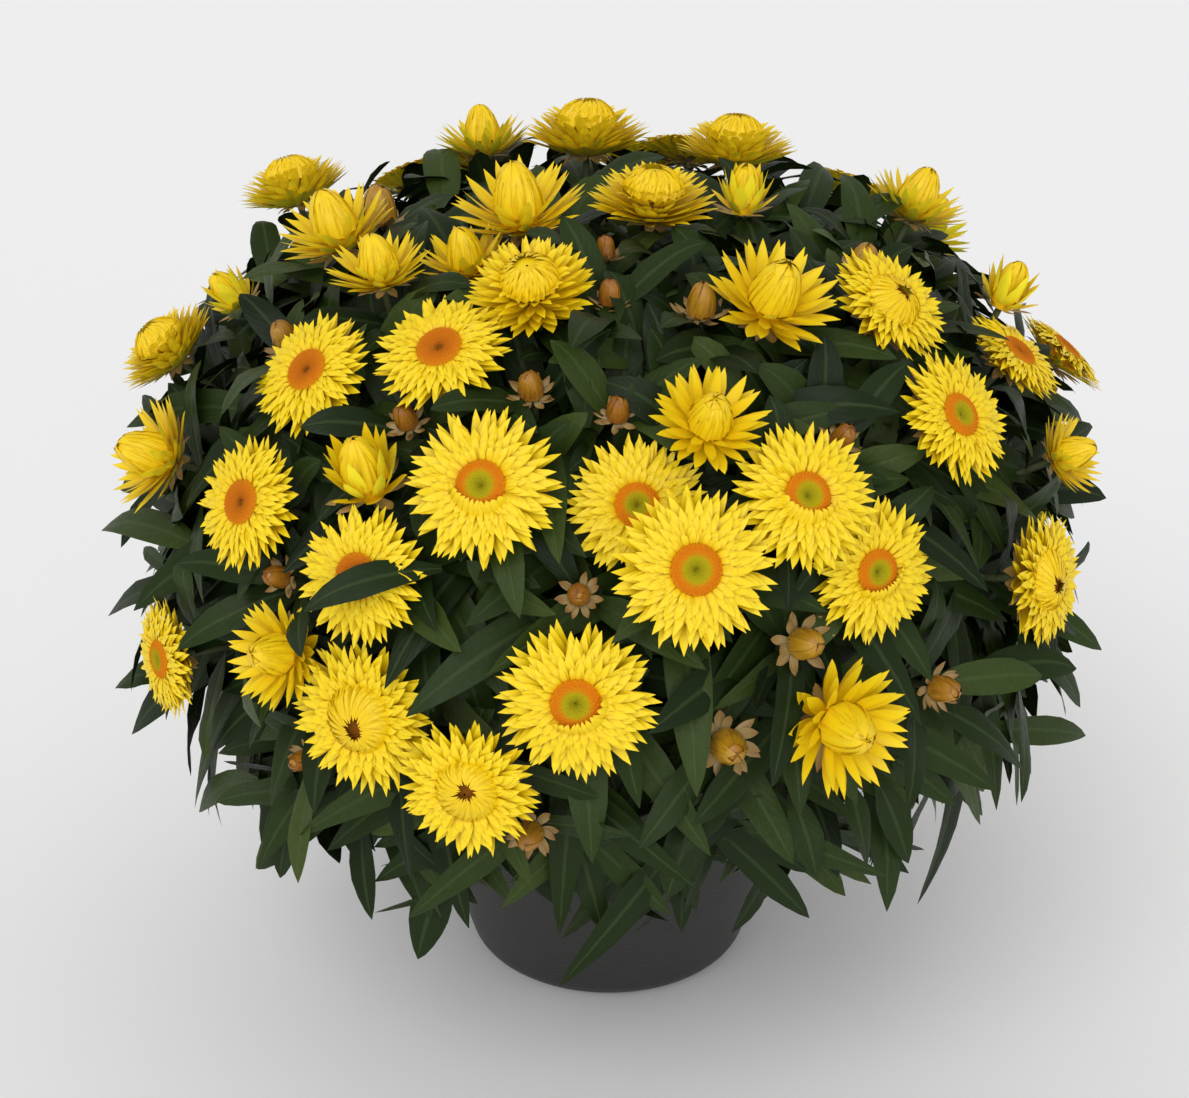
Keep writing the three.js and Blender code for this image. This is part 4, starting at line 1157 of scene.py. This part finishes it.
def lathe(name, profile, material, segments):
    """A closed solid of revolution. The profile is radius and height in millimetres, from axis to axis."""
    points, faces, rows = [], [], []
    for radius, z in profile:
        if radius == 0:
            rows.append([len(points)])
            points.append((0, 0, z * MM))
            continue
        rows.append(list(range(len(points), len(points) + segments)))
        for k in range(segments):
            angle = 2 * math.pi * k / segments
            points.append((radius * MM * math.cos(angle), radius * MM * math.sin(angle), z * MM))
    for lower, upper in zip(rows, rows[1:]):
        for k in range(segments):
            face = [lower[k % len(lower)], lower[(k + 1) % len(lower)]]
            face += [upper[(k + 1) % len(upper)], upper[k % len(upper)]]
            faces.append(list(dict.fromkeys(face)))
    mesh = bpy.data.meshes.new(name)
    mesh.from_pydata(points, [], faces)
    mesh.materials.append(MATERIALS[material])
    mesh.update()
    obj = bpy.data.objects.new(name, mesh)
    bpy.context.scene.collection.objects.link(obj)
    return obj


def make_pot():
    height, lip_width, lip_height, wall = POT["height"], POT["lip_width"], POT["lip_height"], POT["wall"]
    lip_z = height - lip_height
    out, top = wall_radius(lip_z) + lip_width, wall_radius(height) + lip_width
    inner = wall_radius(height) - wall
    walls = [(wall_radius(z), z) for z in np.linspace(30, lip_z - 1.5, 12)]
    profile = [
        (0, 0), *corner_points(0, 10), *walls, (wall_radius(lip_z) + 0.4, lip_z - 0.4),
        (out - 1, lip_z + 0.4), (out, lip_z + 1.4), (top, height - 1.2), (top - 1.1, height),
        (inner + 0.8, height), (inner, height - 0.8), *reversed(corner_points(wall, 8)), (0, POT["floor"]),
    ]
    pot = lathe("pot_fine", profile, "pot", segments=160)
    cutters = []
    for k in range(POT["drain_holes"]):
        place = outward(360 * k / POT["drain_holes"]) * POT["drain_circle"]
        radius = POT["drain_radius"]
        cutter = lathe(f"drain_{k}", [(0, -8), (radius, -8), (radius, 8), (0, 8)], "pot", segments=24)
        cutter.location = (place.x * MM, place.y * MM, 0)
        cut = pot.modifiers.new(cutter.name, "BOOLEAN")
        cut.operation, cut.solver, cut.object = "DIFFERENCE", "EXACT", cutter
        cutters.append(cutter)
    bpy.context.view_layer.update()
    bored = bpy.data.meshes.new_from_object(pot.evaluated_get(bpy.context.evaluated_depsgraph_get()))
    pot.modifiers.clear()
    pot.data = bored
    for cutter in cutters:
        bpy.data.objects.remove(cutter)
    pot.data.shade_smooth()
    pot.data.set_sharp_from_angle(angle=math.radians(40))
    return pot


def make_soil():
    """Peat up to a low crown, with small ripples on its top."""
    rng = np.random.default_rng(SOIL_SEED)
    level, crown = SOIL["level"], SOIL["crown"]
    inset = POT["wall"] + 2 * GAP
    out = wall_radius(level) - inset
    crumbs = rng.uniform(-1, 1, (9, 3))

    def ripple(x, y):
        waves = (math.sin(0.35 * (k + 1) * (x * a + y * b) + 9 * c) for k, (a, b, c) in enumerate(crumbs))
        return 0.22 * sum(waves) - 0.6

    tops = [(out * share, level + crown * (1 - share) ** 0.6) for share in np.linspace(0.98, 0.04, 22)]
    profile = [
        (0, POT["floor"] + GAP), (POT["foot_radius"], POT["floor"] + GAP), *corner_points(inset, 6)[1:],
        (out, level - 1), *tops, (0, level + crown - 1),
    ]
    soil = lathe("soil_fine", profile, "soil", segments=120)
    for vertex in soil.data.vertices:
        x, y = vertex.co.x / MM, vertex.co.y / MM
        if vertex.co.z > (level - 0.5) * MM and math.hypot(x, y) < out - 0.5:
            vertex.co.z += ripple(x, y) * MM
    soil.data.shade_smooth()
    return soil


# Building the plant

blooms = [bloom_frame(*row) for row in BLOOMS]
buds = [bud_frame(*row) for row in BUDS]
crowd = Crowd([*blooms, *buds])

growths = {b["node"]: Growth(b["node"] + "_fine", ["leaf", "stem", "scale", "papery"]) for b in BRANCHES}
leaves = {b["node"]: [] for b in BRANCHES}
corners = {b["node"]: corners_of(b["node"]) for b in BRANCHES}

for branch in BRANCHES:
    start, end = (outward(branch["turn"]) * STEM[place][0] * MM for place in ("foot", "top"))
    start.z, end.z = STEM["foot"][1] * MM, STEM["top"][1] * MM
    make_stem(growths[branch["node"]], Curve(start, (start + end) / 2, end), STEM)

for shoot in list_shoots(blooms, buds):
    curve, kept = solid_leaves(shoot, corners[shoot["node"]])
    make_stem(growths[shoot["node"]], curve, SHOOT)
    reach = EXTRA["bloom_reach"] if shoot["kind"] == "bloom" else EXTRA["reach"]
    leaves[shoot["node"]] += kept + extra_leaves(shoot, curve, crowd, EXTRA["shares"], reach)
for shoot in twigs():
    curve = shoot_curve(shoot, COURSES[0])
    make_stem(growths[shoot["node"]], curve, TWIGS, steps=6)
    leaves[shoot["node"]] += extra_leaves(shoot, curve, crowd, EXTRA["twig_shares"], EXTRA["bloom_reach"])
for k, (root, tip, width) in enumerate(SINGLE_LEAVES):
    leaves[branch_at(root[0])["node"]].append(single_leaf(root, tip, width, EXTRA["single_key"] + k))

for k, bud in enumerate(buds):
    make_bud(growths[branch_at(BUDS[k][0])["node"]], bud, k)
for name, growth in growths.items():
    make_leaves(growth, leaves[name])
    placed(growth.build(), "foliage", name)

heads = {}
for k, bloom in enumerate(blooms):
    name = bloom["node"]
    heads.setdefault(name, Growth(name + "_fine", ["bract", "papery", "floret"]))
    make_bloom(heads[name], bloom, k)
for name, growth in heads.items():
    placed(growth.build(), "petals", name)

placed(make_pot(), "pot", "pot")
placed(make_soil(), "soil", "soil")

# Stage, light and camera

FLOOR_REACH = 15
CAMERA = {"place": (0, -1.070, 0.656), "pitch": 90 - 21, "yaw": 0.433, "lens": 62.07, "sensor": 36.0}

floor = bpy.data.meshes.new("floor")
floor.from_pydata(
    [(x * FLOOR_REACH, y * FLOOR_REACH, 0) for x, y in ((-1, -1), (1, -1), (1, 1), (-1, 1))],
    [], [(0, 1, 2, 3)],
)
floor.materials.append(MATERIALS["floor"])
floor_object = bpy.data.objects.new("floor", floor)
bpy.context.scene.collection.objects.link(floor_object)


def sun(name, direction, strength, spread):
    light = bpy.data.lights.new(name, "SUN")
    light.energy, light.angle = strength, math.radians(spread)
    obj = bpy.data.objects.new(name, light)
    obj.rotation_euler = (-Vector(direction)).to_track_quat("-Z", "Y").to_euler()
    bpy.context.scene.collection.objects.link(obj)


sun("key", (-0.4, -1.0, 0.9), 1.1, 40)
sun("fill", (0.3, -1.0, 0.0), 1.25, 50)

world = bpy.data.worlds.new("studio")
bpy.context.scene.world = world
world.use_nodes = True
world.node_tree.nodes["Background"].inputs["Color"].default_value = (1.0, 1.0, 1.0, 1)
world.node_tree.nodes["Background"].inputs["Strength"].default_value = 0.66

camera = bpy.data.cameras.new("camera")
camera.sensor_width, camera.lens = CAMERA["sensor"], CAMERA["lens"]
camera.clip_start, camera.clip_end = 0.05, 60.0
camera_object = bpy.data.objects.new("camera", camera)
camera_object.location = CAMERA["place"]
camera_object.rotation_euler = (math.radians(CAMERA["pitch"]), 0, math.radians(CAMERA["yaw"]))
bpy.context.scene.collection.objects.link(camera_object)
bpy.context.scene.camera = camera_object
bpy.context.scene.view_settings.view_transform = "Standard"
